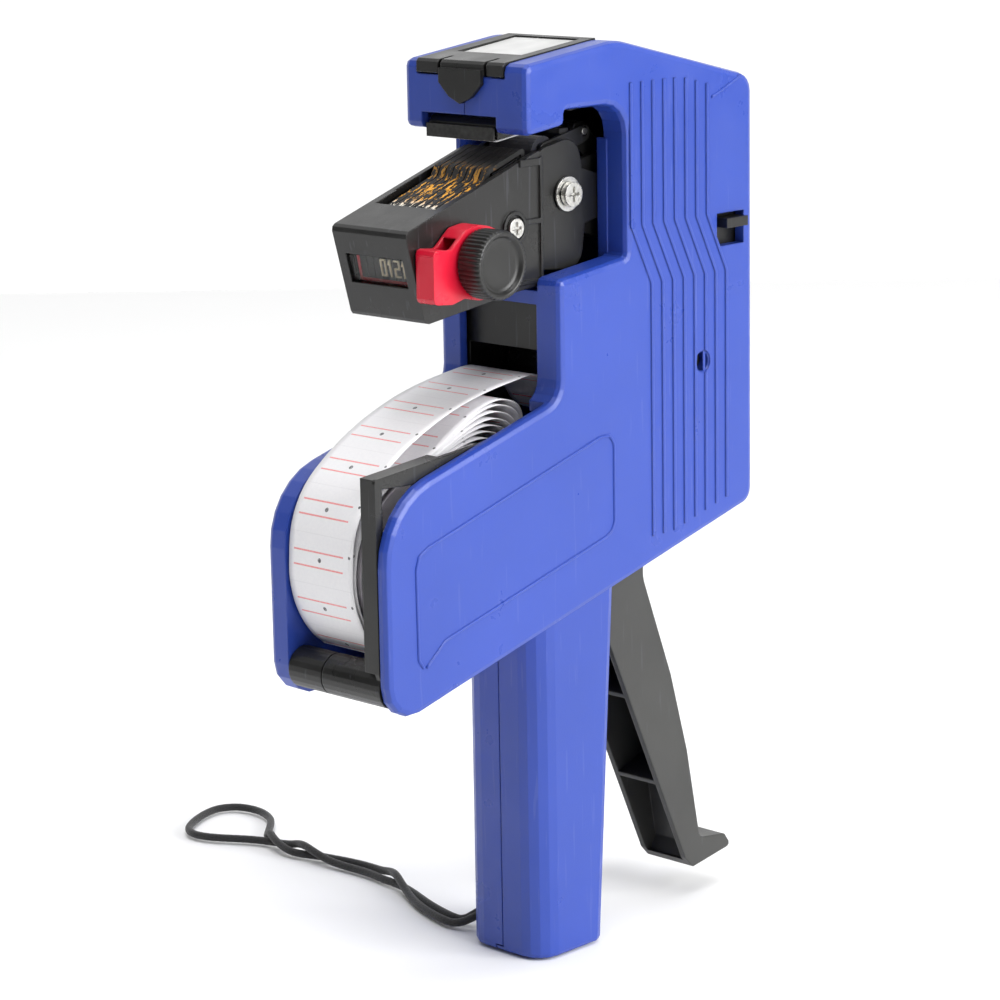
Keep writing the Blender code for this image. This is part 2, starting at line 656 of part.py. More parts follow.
def strip_path(low, high):
    """The label strip: off the roll, through the slot, round the feed wheel, up the back, to the nose."""
    def arc(centre, radius, start, end, steps):
        return [(centre[0] + radius * math.cos(math.radians(start + (end - start) * i / steps)),
                 centre[1] + radius * math.sin(math.radians(start + (end - start) * i / steps)))
                for i in range(steps + 1)]
    path = arc(ROLL, LOOSE_R + 0.9, 235, 178, 6)
    path += [(-59.8, 115.0), (-55.3, 123.4), (-47.0, 130.2), (-38.0, 135.3), (-27.0, 139.6), (-16.5, 142.2),
             (-6.4, 143.7), (1.0, 144.2), (7.0, 141.6)]
    path += arc(FEED_AXIS, 12.4, 208, 360, 9)
    path += [(35.9, 160.0), (35.9, 180.0), (35.6, 196.0), (33.4, 203.0), (28.5, 207.6), (21.0, 209.4),
        (12.0, 208.6),
             (5.5, 207.0), (2.8, 205.2), (0.9, 203.1), (-0.6, 202.5), (-5.0, 201.95), (-11.0, 201.2)]
    half = STRIP_THICK / 2
    above, below = [], []
    for i, (x, z) in enumerate(path):
        ahead, behind = path[min(i + 1, len(path) - 1)], path[max(i - 1, 0)]
        run = Vector((ahead[0] - behind[0], ahead[1] - behind[1])).normalized()
        above.append((x - run.y * half, z + run.x * half))
        below.append((x + run.y * half, z - run.x * half))
    rings = [[(a[0], low, a[1]), (a[0], high, a[1]), (b[0], high, b[1]), (b[0], low, b[1])]
             for a, b in zip(above, below)]
    loft("label_strip", rings, PAPER)


def roll_cover():
    """The black cover beside the roll: a plate with a corner opening and a front strip, hinged below."""
    x, z = COVER_HINGE
    outline = [(x - 2.0, z - 4.0, 1.0), (-22.0, 84.2, 3.0), (-18.0, 92.0, 3.0), (-18.0, 133.4, 3.0),
               (-40.0, 131.6, 4.0), (-61.6, 129.6, 1.0), (-61.6, 84.0, 1.0)]
    cover = plate("roll_cover", round_outline(outline), -16.9, -15.5, BLACK)
    strip = [(-61.6, 84.0), (-60.2, 84.0), (-60.2, 128.0), (-40.0, 130.2), (-40.0, 131.6), (-61.6, 129.6)]
    join(cover, plate("cover_front_strip", strip, -16.2, -12.2, cutter=True))
    join(cover, rod("cover_barrel", COVER_HINGE, 5.0, -16.9, 2.3, cutter=True, sides=24))
    opening = [(-59.3, 127.2), (-48.5, 126.6), (-59.3, 114.5)]
    cut(cover, rod("cover_bore", COVER_HINGE, 1.5 + RUN, -20, 5, cutter=True, sides=14),
        plate("cover_opening", opening, -18.0, -14.9, cutter=True))
    carry(pivot_empty("roll_cover_axis", COVER_HINGE), cover)
    knuckle = rod("cover_knuckle", COVER_HINGE, 5.0, 2.7, 13.7, BLACK, sides=24)
    cut(knuckle, rod("knuckle_bore", COVER_HINGE, 1.5 + RUN, 0, 20, cutter=True, sides=14))
    rod("cover_hinge_pin", COVER_HINGE, 1.5, -16.6, 13.5, STEEL, sides=14)


# ==================================================================================================
# trigger lever, its spring, the drive link and the feed pawl
# ==================================================================================================
LEVER = [(56.0, 8.2, 1.0), (58.8, 5.2, 0.8), (74.2, 7.6, 0.9), (71.6, 11.2, 0.9), (61.6, 12.6, 2.0), (56.7,
    37.5, 8.0),
         (50.5, 59.2, 8.0), (39.9, 87.0, 8.0), (42.0, 104.0, 8.0), (55.6, 138.0, 5.0), (60.6, 144.6, 3.0),
         (58.4, 149.6, 3.0), (48.0, 148.2, 5.0), (43.2, 144.0, 4.0), (41.5, 132.0, 6.0), (29.5, 105.0, 6.0),
         (22.6, 88.0, 6.0), (24.0, 79.0, 6.0), (28.8, 68.7, 8.0)]


def trigger():
    lever = plate("trigger_lever", round_outline(LEVER), -LEVER_HALF_Y, LEVER_HALF_Y, GREY)
    back = offset_corners(LEVER, LEVER_WALL)
    inside = [(20.0, 77.0), (27.0, 66.0), (54.0, 8.0)] + [(58.0, 7.2), (60.0, 11.0)]
    inside += [back[5][:2], back[6][:2], back[7][:2], (39.6, 104.0), (47.5, 124.0), (20.0, 124.0), (10.0,
        100.0)]
    inner_y = LEVER_HALF_Y - LEVER_WALL
    channel = plate("lever_channel", inside, -inner_y, inner_y, cutter=True)
    for i, (x, z) in enumerate(((24.0, 52.0), (38.0, 27.4), (16.0, 85.0))):
        cut(channel, plate(f"lever_rib_{i}", [(x, z), (x + 40, z + 14.6), (x + 40, z + 16.0), (x, z + 1.4)],
                           -inner_y - 1, inner_y + 1, cutter=True))
    cut(lever, channel)
    cut(lever, rod("lever_bore", LEVER_PIVOT, LEVER_PIN_R + RUN, -20, 20, cutter=True, sides=24),
        rod("link_pin_seat", LINK_LOW, LINK_PIN_R + 0.1, -20, 20, cutter=True, sides=16),
        rod("pawl_pin_seat", PAWL_PIVOT, SMALL_PIN_R + 0.1, -20, 0, cutter=True, sides=12))
    low_pin = rod("link_pin_low", LINK_LOW, LINK_PIN_R, -12.6, 7.6, STEEL, sides=16)
    pawl_pin = rod("pawl_pin", PAWL_PIVOT, SMALL_PIN_R, -10.6, -6.2, STEEL, sides=12)
    axis = pivot_empty("lever_axis", LEVER_PIVOT)
    carry(axis, lever, low_pin, pawl_pin)

    spot = LINK_LOW
    run = Vector((LINK_HIGH[0] - spot[0], LINK_HIGH[1] - spot[1])).normalized()
    side = Vector((-run.y, run.x)) * 2.6
    bar = [(spot[0] + side.x, spot[1] + side.y), (LINK_HIGH[0] + side.x, LINK_HIGH[1] + side.y),
           (LINK_HIGH[0] - side.x, LINK_HIGH[1] - side.y), (spot[0] - side.x, spot[1] - side.y)]
    link = plate("drive_link", bar, -12.2, -10.8, STEEL)
    join(link, rod("link_eye_low", LINK_LOW, 3.2, -12.2, -10.8, cutter=True),
         rod("link_eye_high", LINK_HIGH, 3.2, -12.2, -10.8, cutter=True))
    cut(link, rod("link_hole_low", LINK_LOW, LINK_PIN_R + RUN, -20, 0, cutter=True, sides=16),
        rod("link_hole_high", LINK_HIGH, LINK_PIN_R + 0.6, -20, 0, cutter=True, sides=16))
    carry(pivot_empty("link_axis", LINK_LOW), link)

    pawl_shape = [(38.7, 116.6, 1.2), (42.3, 116.6, 1.2), (42.3, 120.0, 1.2), (34.0, 127.2, 0.8), (32.6,
        126.0, 0.8)]
    pawl = plate("feed_pawl", round_outline(pawl_shape), -10.2, -8.7, BLACK)
    cut(pawl, rod("pawl_bore", PAWL_PIVOT, SMALL_PIN_R + RUN, -20, 0, cutter=True, sides=12))
    carry(pivot_empty("pawl_axis", PAWL_PIVOT), pawl)

    coil = []
    turns, per_turn, coil_r, wire = 3, 12, 5.4, 0.6
    for i in range(turns * per_turn + 1):
        a = math.tau * i / per_turn
        coil.append((LEVER_PIVOT[0] + coil_r * math.cos(a), 9.2 + 1.6 * i / per_turn,
                     LEVER_PIVOT[1] + coil_r * math.sin(a)))
    start = [(LEVER_PIVOT[0] + coil_r, 9.2, LEVER_PIVOT[1] - 22), (LEVER_PIVOT[0] + coil_r, 9.2,
        LEVER_PIVOT[1] - 8)]
    end = [(LEVER_PIVOT[0] + coil_r, 9.2 + 1.6 * turns, LEVER_PIVOT[1] + 9),
           (LEVER_PIVOT[0] + coil_r + 2, 9.2 + 1.6 * turns, LEVER_PIVOT[1] + 24)]
    tube("lever_spring", start + coil + end, wire, STEEL)


# ==================================================================================================
# feed wheel and ratchet
# ==================================================================================================
def feed_train():
    low, high = STRIP_Y - STRIP_WIDTH / 2 + 0.6, STRIP_Y + STRIP_WIDTH / 2 - 0.4
    wheel = turned("feed_wheel", [(10.4, low), (10.4, high), (FEED_AXLE_R + RUN, high), (FEED_AXLE_R + RUN,
        low)],
                   FEED_AXIS, BLACK, 32)
    for i in range(12):
        a = math.tau * (i + 0.5) / 12
        tooth = [(FEED_AXIS[0] + r * math.cos(a + d), FEED_AXIS[1] + r * math.sin(a + d))
                 for r, d in ((9.8, 0.11), (11.6, 0.03), (11.6, -0.03), (9.8, -0.11))]
        join(wheel, plate(f"sprocket_pin_{i}", tooth[::-1], STRIP_Y - 0.9, STRIP_Y + 0.9, cutter=True))
    teeth = []
    for i in range(12):
        a = math.tau * i / 12
        teeth += [(FEED_AXIS[0] + 10.9 * math.cos(a), FEED_AXIS[1] + 10.9 * math.sin(a)),
                  (FEED_AXIS[0] + 8.6 * math.cos(a + 0.06), FEED_AXIS[1] + 8.6 * math.sin(a + 0.06))]
    ratchet = plate("ratchet_wheel", teeth, -10.2, -8.7, BLACK)
    cut(ratchet, rod("ratchet_bore", FEED_AXIS, FEED_AXLE_R + RUN, -20, 0, cutter=True, sides=14))
    carry(pivot_empty("feed_axis", FEED_AXIS), wheel, ratchet)


# ==================================================================================================
# print arm: head housing, inner plates, type bands, number window, selector and knob
# ==================================================================================================
HEAD = [(-45.6, 183.6, 1.4), (-39.6, 161.8, 1.4), (-8.0, 165.9, 2.0), (0.0, 166.6, 0.8), (0.0, 198.7, 0.8)]
BAND_LOOP = [(-41.0, 183.3, 2.0), (-37.6, 166.8, 2.4), (-22.0, 170.0, 3.0), (-12.0, 177.0, 3.0), (-2.2,
    186.0, 2.0),
             (-2.2, 199.2, 0.8), (-14.5, 195.0, 0.8), (-16.0, 192.4, 1.0)]


def print_head():
    head = plate("head_housing", round_outline(HEAD), -HEAD_HALF_Y, HEAD_HALF_Y, BLACK)
    room = offset_corners(HEAD, HEAD_WALL + 0.3)
    hollow = [room[0][:2], room[1][:2], room[2][:2], (8.0, room[3][1]), (8.0, 215.0), (-5.0, 199.5)]
    top = HEAD[0][1] + 4.1
    hollow_top = [(-33.2, top - 8.0), (8.0, 190.0), (8.0, 215.0), (-33.2, 215.0)]
    inner = HEAD_HALF_Y - HEAD_WALL
    cut(head, plate("head_hollow", hollow, -inner, inner, cutter=True),
        plate("head_open_top", hollow_top, -inner + 0.6, inner - 0.6, cutter=True))
    slant = Vector((-39.6 + 45.6, 161.8 - 183.6)).normalized()
    top_spot = Vector((-45.6, 183.6)) + slant * 6.6
    low_spot = Vector((-45.6, 183.6)) + slant * 13.8
    window = [(top_spot.x - 4, top_spot.y), (low_spot.x - 4, low_spot.y), (low_spot.x + 6, low_spot.y),
              (top_spot.x + 6, top_spot.y)]
    cut(head, plate("number_opening", window, -9.4, 9.4, cutter=True),
        rod("selector_bore", SELECTOR_AXIS, 2.6, -20, 0, cutter=True, sides=18))
    pane = [(top_spot.x + 0.9, top_spot.y - 0.35), (low_spot.x + 0.9, low_spot.y + 0.35),
            (low_spot.x + 1.8, low_spot.y + 0.35), (top_spot.x + 1.8, top_spot.y - 0.35)]
    pane_obj = plate("number_window", pane, -9.1, 9.1, CLEAR)

    for i, (x0, z0, x1, z1) in enumerate(((-7.6, 196.0, -0.9, 198.0), (-0.9, 167.4, -0.1, 198.2),
                                          (-8.0, 167.2, -0.9, 168.2), (-5.8, 181.4, -0.9, 182.6))):
        join(head, box(f"head_rib_{i}", (x0, -HEAD_HALF_Y - 0.5, z0 - (0.9 if i == 0 else 0)),
                       (x1, -HEAD_HALF_Y + 0.5, z1 - (1.2 if i < 2 else 0)), cutter=True))
    join(head, rod("screw_ring", HEAD_SCREW, 4.0, -HEAD_HALF_Y - 0.6, -HEAD_HALF_Y + 0.6, cutter=True))
    cut(head, rod("screw_well", HEAD_SCREW, 3.1, -HEAD_HALF_Y - 2, -HEAD_HALF_Y + 0.2, cutter=True))
    side_screw = rod("head_side_screw", HEAD_SCREW, 2.4, -HEAD_HALF_Y - 1.0, -HEAD_HALF_Y - 0.1, STEEL,
        sides=18)
    cut_cross(side_screw, HEAD_SCREW, 1.5, -16, -HEAD_HALF_Y - 0.55)

    plates = round_outline([(-14.0, 176.0, 1.0), (-14.0, 171.0, 1.0), (15.6, 168.4, 5.0), (17.8, 185.0, 6.0),
                            (14.6, 200.8, 5.0), (1.2, 198.2, 2.0), (1.2, 184.5, 1.0)])
    yoke = plate("arm_yoke", plates, -YOKE_Y, YOKE_Y, BLACK)
    tail = round_outline([(12.0, 178.0, 1.0), (28.0, 181.6, 3.0), (31.6, 185.2, 3.0), (28.6, 188.6, 3.0),
                          (12.0, 194.0, 1.0)])
    join(yoke, plate("arm_tail", tail, -YOKE_Y, 0.0, cutter=True))
    between = [(-30.0, 174.4), (-1.6, 174.4), (-1.6, 150.0), (40.0, 150.0), (40.0, 215.0), (-30.0, 215.0)]
    cut(yoke, plate("yoke_gap", between, -YOKE_Y + YOKE_THICK, YOKE_Y - YOKE_THICK, cutter=True),
        rod("yoke_bore", ARM_PIVOT, ARM_PIN_R + RUN, -20, 20, cutter=True),
        rod("link_pin_hole", LINK_HIGH, LINK_PIN_R + 0.1, -20, 0, cutter=True, sides=16))
    high_pin = rod("link_pin_high", LINK_HIGH, LINK_PIN_R, -12.6, -9.0, STEEL, sides=16)

    pieces = [head, pane_obj, side_screw, yoke, high_pin]
    pieces += arm_pivot_screw()
    pieces += type_bands()
    carry(pivot_empty("arm_axis", ARM_PIVOT), *pieces)


def arm_pivot_screw():
    washer = turned("pivot_washer", [(4.2, -11.2), (4.2, -10.6), (1.4, -10.6), (1.4, -11.2)], ARM_PIVOT,
        STEEL, 24)
    screw = rod("pivot_screw", ARM_PIVOT, 3.0, -13.0, -11.5, STEEL, sides=20)
    cut_cross(screw, ARM_PIVOT, 1.8, -16, -12.2)
    return [washer, screw]


def type_bands():
    """Eight rubber type bands side by side, joined by a thin web inside, and the block they print over."""
    half = BAND_PITCH * (BAND_COUNT - 1) / 2 + BAND_WIDTH / 2
    rings = []
    for i in range(BAND_COUNT):
        y = (i - (BAND_COUNT - 1) / 2) * BAND_PITCH
        edges = [(y - BAND_WIDTH / 2, 0.0), (y + BAND_WIDTH / 2, 0.0)]
        if i:
            edges.insert(0, (edges[0][0], BAND_THICK - BAND_WEB))
        if i < BAND_COUNT - 1:
            edges.append((edges[-1][0], BAND_THICK - BAND_WEB))
        rings += [[(x, e, z) for x, z in round_outline(offset_corners(BAND_LOOP, inset), BAND_LOOP)]
                  for e, inset in edges]
    bands = loft("type_bands", rings, RUBBER)
    cut(bands, plate("bands_inside", round_outline(offset_corners(BAND_LOOP, BAND_THICK), BAND_LOOP), -12,
        12,
                     cutter=True))
    block = offset_corners(BAND_LOOP, BAND_THICK + GAP)
    shape = [(-13.0, block[6][1]), (-13.0, 180.5), block[4][:2], block[5][:2]]
    anvil = plate("type_block", shape, -half, half, BLACK)
    return [bands, anvil]


def selector():
    """The red pointer yoke and the print knob on its shaft."""
    x, z = SELECTOR_AXIS
    shape = [(-42.6, 180.0, 1.2), (-42.6, 167.4, 1.2), (-36.6, 166.8, 1.5), (-32.6, 167.8, 3.0), (x,
        z - 8.8, 6.0),
             (x + 8.6, z - 7.0, 7.0), (x + 8.6, z + 7.0, 7.0), (x, z + 8.9, 6.0), (-32.0, z + 8.2, 3.0),
             (-37.0, 179.4, 1.5)]
    yoke = plate("selector_pointer", round_outline(shape), -12.6, -18.3, RED)
    cut(yoke, rod("pointer_bore", SELECTOR_AXIS, 2.2, -30, 0, cutter=True, sides=18),
        rod("pointer_waist", (-33.6, z - 0.2), 6.5, -13.4, -17.4, cutter=True))
    yoke_fill = rod("pointer_hub", SELECTOR_AXIS, 4.2, -12.8, -18.1, cutter=True)
    join(yoke, yoke_fill)
    cut(yoke, rod("pointer_bore_b", SELECTOR_AXIS, 2.2, -30, 0, cutter=True, sides=18))
    carry(pivot_empty("selector_slide", SELECTOR_AXIS), yoke)

    out, inn, r = KNOB_OUT_Y, KNOB_IN_Y, KNOB_R
    knob = turned("print_knob", [(2.1, out + 1.2), (r - 1.5, out + 1.2), (r - 1.1, out), (r - 0.4, out),
        (r, out + 0.5),
                                 (r, inn - 0.4), (r - 0.4, inn), (2.1, inn)], SELECTOR_AXIS, BLACK, 36)
    shaft = rod("selector_shaft", SELECTOR_AXIS, 1.9, out + 1.6, 9.4, STEEL, sides=18)
    join(shaft, rod("band_driver", SELECTOR_AXIS, 3.4, 6.9, 8.8, cutter=True, sides=18))
    carry(pivot_empty("knob_axis", SELECTOR_AXIS), knob, shaft)


def ink_unit():
    """The ink roller and the bracket that swings it clear of the type."""
    x, z = INK_AXIS
    hx, hz = INK_PIVOT
    arms = round_outline([(x - 2.2, z - 2.0, 1.6), (x + 2.2, z - 2.2, 1.6), (hx + 2.0, hz - 1.8, 1.6),
        (hx + 2.0, hz + 2.0, 1.6),
                          (x - 2.2, z + 2.2, 1.6)])
    holder = plate("ink_holder", arms, -8.3, 8.3, BLACK)
    cut(holder, box("ink_gap", (x - 10, -7.3, 180), (x + 20, 7.3, 220), cutter=True),
        rod("ink_hinge_bore", INK_PIVOT, SMALL_PIN_R + RUN, -20, 20, cutter=True, sides=12),
        rod("ink_axle_bore", INK_AXIS, 1.0 + RUN, -20, 20, cutter=True, sides=12))
    join(holder, box("ink_bridge", (x + 5.4, -7.6, 201.1), (x + 8.4, 7.6, 202.3), cutter=True))
    carry(pivot_empty("ink_swing_axis", INK_PIVOT), holder)
    roller = turned("ink_roller", [(4.0, -7.0), (4.0, 7.0), (1.3, 7.0), (1.3, -7.0)], INK_AXIS, FELT, 24)
    axle = rod("ink_roller_axle", INK_AXIS, 1.0, -8.3, 8.3, STEEL, sides=12)
    carry(pivot_empty("ink_roller_axis", INK_AXIS), roller, axle)


# ==================================================================================================
# nose cover with its window, and the slide tab
# ==================================================================================================
def nose_cover():
    y0, y1 = LID_Y - LID_HALF_Y, LID_Y + LID_HALF_Y
    back = LID_HINGE[0] - 2.6
    shape = [(NOSE_X - 0.3, 216.6), (NOSE_X + 1.6, 216.6), (NOSE_X + 2.2, nose_top(NOSE_X) - 1.9),
             (back, nose_top(back) - 1.9), (back, nose_top(back) + 0.2), (NOSE_X + 0.4,
                 nose_top(NOSE_X) + 0.35),
             (NOSE_X - 0.3, nose_top(NOSE_X) - 0.4)]
    lid = plate("nose_cover", shape, y0, y1, BLACK)
    join(lid, rod("lid_barrel", LID_HINGE, 1.7, y0, y1, cutter=True, sides=14),
         plate("lid_arm", [(back - 1, nose_top(back) - 1.9), (LID_HINGE[0], LID_HINGE[1] - 1.2),
                           (LID_HINGE[0], LID_HINGE[1] + 1.2), (back - 1, nose_top(back) + 0.1)], y0, y1,
                               cutter=True))
    tongue = [(7.3, 218.0), (7.3, 214.6), (4.0, 211.4), (0.4, 209.8), (-3.2, 211.4), (-6.5, 214.6), (-6.5,
        218.0)]
    rings = [[(NOSE_X - d, y, z) for y, z in tongue] for d in (1.3, 0.2)]
    join(lid, loft("lid_tongue", rings, cutter=True))
    for i, y in enumerate((7.9, -7.1)):
        cut(lid, box(f"lid_slit_{i}", (NOSE_X - 3, y - 0.5, 214), (NOSE_X + 4.5, y + 0.5, 224), cutter=True))
    x0, x1 = NOSE_X + 9.5, 16.6
    hole = [(x0, nose_top(x0) - 4), (x1, nose_top(x1) - 4), (x1, nose_top(x1) + 3), (x0, nose_top(x0) + 3)]
    cut(lid, plate("lid_window_opening", hole, LID_Y - 11.0, LID_Y + 10.2, cutter=True),
        rod("lid_bore", LID_HINGE, LID_PIN_R + RUN, -40, 40, cutter=True, sides=12))
    pane = [(x0 + 0.3, nose_top(x0) - 1.2), (x1 - 0.3, nose_top(x1) - 1.2), (x1 - 0.3, nose_top(x1) - 0.2),
            (x0 + 0.3, nose_top(x0) - 0.2)]
    glass = plate("cover_window", pane, LID_Y - 10.7, LID_Y + 9.9, CLEAR)
    carry(pivot_empty("lid_axis", LID_HINGE), lid, glass)


def slide_tab():
    """The black tab in the side window that slides down to free the strip."""
    tab = box("release_tab", (53.4, -16.8, 165.4), (65.8, -15.4, 183.6), BLACK)
    join(tab, box("tab_finger", (56.4, -22.0, 174.6), (64.4, -16.0, 177.0), cutter=True))
    carry(pivot_empty("tab_slide", (60.4, 175.8), -20.0), tab)


# ==================================================================================================
# wrist cord
# ==================================================================================================
CORD_R = 1.05
CORD_LIFT = 0.1      # clearance of the cord over the surface the handle stands on
CORD_LINE = [(5.6, 11.8), (4.6, 15.8), (2.0, 20.0), (1.4, 26.0), (4.4, 36.9), (8.1, 45.9), (11.4, 54.9),
             (14.1, 64.9), (14.5, 72.9), (13.3, 81.9), (12.1, 90.9), (12.2, 98.4), (13.3, 106.4)]
CORD_LOOP = [(16.8, 111.5), (22.1, 116.3), (27.1, 121.7), (29.8, 128.9), (28.8, 136.3), (23.2, 140.0),
             (14.5, 137.8), (6.7, 133.0), (4.0, 127.5), (5.5, 121.5), (9.1, 115.5), (11.5, 111.3)]
CROSSINGS = [6, 10, 12]     # places in CORD_LINE where one strand lies over the other
STRAND_HALF_GAPS = [1.9, 1.9, 1.35]   # half the distance between the strands before each crossing


def strand(side, per_span=2):
    """One of the cord's two strands, from the handle to the last crossing; side is -1 or +1."""
    middle = smooth_curve([(x, y, 0.0) for x, y in CORD_LINE], per_span)
    places = [i * per_span for i in CROSSINGS]
    points = []
    for i, spot in enumerate(middle):
        span = next(k for k, place in enumerate(places) if i <= place)
        start = places[span - 1] if span else -places[0]
        wave = math.sin(math.pi * (i - start) / (places[span] - start))
        apart = STRAND_HALF_GAPS[span] * max(wave, 0.0) ** 0.5 * side * (-1) ** span
        ahead = (middle[min(i + 1, len(middle) - 1)] - middle[max(i - 1, 0)]).normalized()
        height = HANDLE_Z + CORD_R + CORD_LIFT
        drop = min(max((spot.y - 13.5) / 9.0, 0.0), 1.0)
        height += (CORD_HOLE_Z - height) * (1 - drop * drop * (3 - 2 * drop))
        for k, place in enumerate(places):
            if (-1) ** k == side:
                away = (middle[place] - spot).length
                height += 2.5 * math.exp(-(away / 8.0) ** 2)
        points.append(Vector((spot.x - ahead.y * apart, spot.y + ahead.x * apart, height)))
    return points


def wrist_cord():
    inner = HANDLE_HALF_Y - WALL - GAP
    box("cord_bar", (CORD_HOLE_X - 6.0, inner - 1.4, CORD_HOLE_Z - 0.8), (CORD_HOLE_X + 6.0, inner,
        CORD_HOLE_Z + 0.8), STEEL)
    out, back = strand(1), strand(-1)
    round_end = [(x, y, HANDLE_Z + CORD_R + CORD_LIFT) for x, y in CORD_LOOP]
    loop = smooth_curve([out[-2], out[-1]] + round_end + [back[-1], back[-2]], 2)[2:-2]
    tube("wrist_cord", out[:-1] + loop + back[:-1][::-1], CORD_R, CORD)


build_casing()
casing_fasteners()
fixed_frames()
label_supply()
roll_cover()
trigger()
feed_train()
print_head()
selector()
ink_unit()
nose_cover()
slide_tab()
wrist_cord()
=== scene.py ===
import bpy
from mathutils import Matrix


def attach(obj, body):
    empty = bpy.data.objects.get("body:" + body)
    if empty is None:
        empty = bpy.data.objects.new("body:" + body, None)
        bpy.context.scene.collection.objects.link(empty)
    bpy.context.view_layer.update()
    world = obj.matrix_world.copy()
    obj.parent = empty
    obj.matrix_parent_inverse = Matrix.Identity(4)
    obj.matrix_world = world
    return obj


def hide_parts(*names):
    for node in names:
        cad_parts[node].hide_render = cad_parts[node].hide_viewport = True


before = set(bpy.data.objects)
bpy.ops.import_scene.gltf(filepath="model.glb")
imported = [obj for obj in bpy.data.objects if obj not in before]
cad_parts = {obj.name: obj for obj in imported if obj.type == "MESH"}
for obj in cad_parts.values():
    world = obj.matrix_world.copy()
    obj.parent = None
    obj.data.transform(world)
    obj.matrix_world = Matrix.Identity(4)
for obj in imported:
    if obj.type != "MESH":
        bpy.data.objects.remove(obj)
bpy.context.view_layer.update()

import math

import bpy
import numpy as np
from mathutils import Matrix, Vector

# ------------------------------------------------------------------------------------------------
# Camera: at arm's length from the nose side, a little above the gun and looking slightly down.
# ------------------------------------------------------------------------------------------------
yaw, pitch, roll = math.radians(-45.96), math.radians(12.38), math.radians(-0.989)
back = Vector((math.sin(yaw) * math.cos(pitch), -math.cos(yaw) * math.cos(pitch), math.sin(pitch)))
level = Vector((math.cos(yaw), math.sin(yaw), 0.0))
upward = back.cross(level)
right = level * math.cos(roll) + upward * math.sin(roll)
top = upward * math.cos(roll) - level * math.sin(roll)
camera = bpy.data.objects.new("camera", bpy.data.cameras.new("camera"))
camera.matrix_world = Matrix((right, top, back)).transposed().to_4x4()
camera.location = (-0.5735, -0.5450, 0.2875)
camera.data.lens = 118.9
camera.data.sensor_width = 36.0
camera.data.clip_start = 0.05
bpy.context.scene.collection.objects.link(camera)
bpy.context.scene.camera = camera


# ------------------------------------------------------------------------------------------------
# Wrist cord: a braided black nylon cord doubled through the hole at the foot of the handle and
# round the bar inside it. The two strands cross three times and end in an open loop.
# ------------------------------------------------------------------------------------------------
def colour(code):
    """Linear RGBA of an sRGB hex colour."""
    parts = [int(code[i:i + 2], 16) / 255 for i in (1, 3, 5)]
    return [c / 12.92 if c <= 0.04045 else ((c + 0.055) / 1.055) ** 2.4 for c in parts] + [1.0]


def node(tree, kind, links=(), **settings):
    """Adds one shader node. A setting called i1 is the value of input 1, one called i_Scale that of
    the input Scale, and the others are the node's own. links are (output, input) pairs."""
    made = tree.nodes.new("ShaderNode" + kind)
    for key, value in settings.items():
        if key.startswith("i_"):
            made.inputs[key[2:].replace("_", " ")].default_value = value
        elif key[0] == "i" and key[1:].isdigit():
            made.inputs[int(key[1:])].default_value = value
        else:
            setattr(made, key, value)
    for socket, where in links:
        tree.links.new(socket, made.inputs[where])
    return made


def material(name):
    """An empty material with its output, and its node tree."""
    made = bpy.data.materials.new(name)
    made.use_nodes = True
    made.node_tree.nodes.clear()
    return made, made.node_tree


def per_mm(count):
    """The scale of a texture with this many of its patterns to a millimetre."""
    return 1000.0 * count


def calc(tree, how, a, b=None):
    """One Math node; a and b are numbers or sockets. Returns its output."""
    made = node(tree, "Math", operation=how)
    for i, part in enumerate((a, b)):
        if isinstance(part, bpy.types.NodeSocket):
            tree.links.new(part, made.inputs[i])
        elif part is not None:
            made.inputs[i].default_value = part
    return made.outputs[0]


def blend_colour(tree, amount, low, high):
    """A colour mix by amount, a socket. low and high are hex colours or sockets."""
    made = node(tree, "Mix", data_type="RGBA")
    tree.links.new(amount, made.inputs["Factor"])
    for where, part in ((6, low), (7, high)):
        if isinstance(part, str):
            made.inputs[where].default_value = colour(part)
        else:
            tree.links.new(part, made.inputs[where])
    return made.outputs[2]


def spread(tree, value, low, high, to_low, to_high):
    """value from the range low to high, clamped onto to_low to to_high."""
    made = node(tree, "MapRange", [(value, 0)], i1=low, i2=high, i3=to_low, i4=to_high)
    return made.outputs[0]


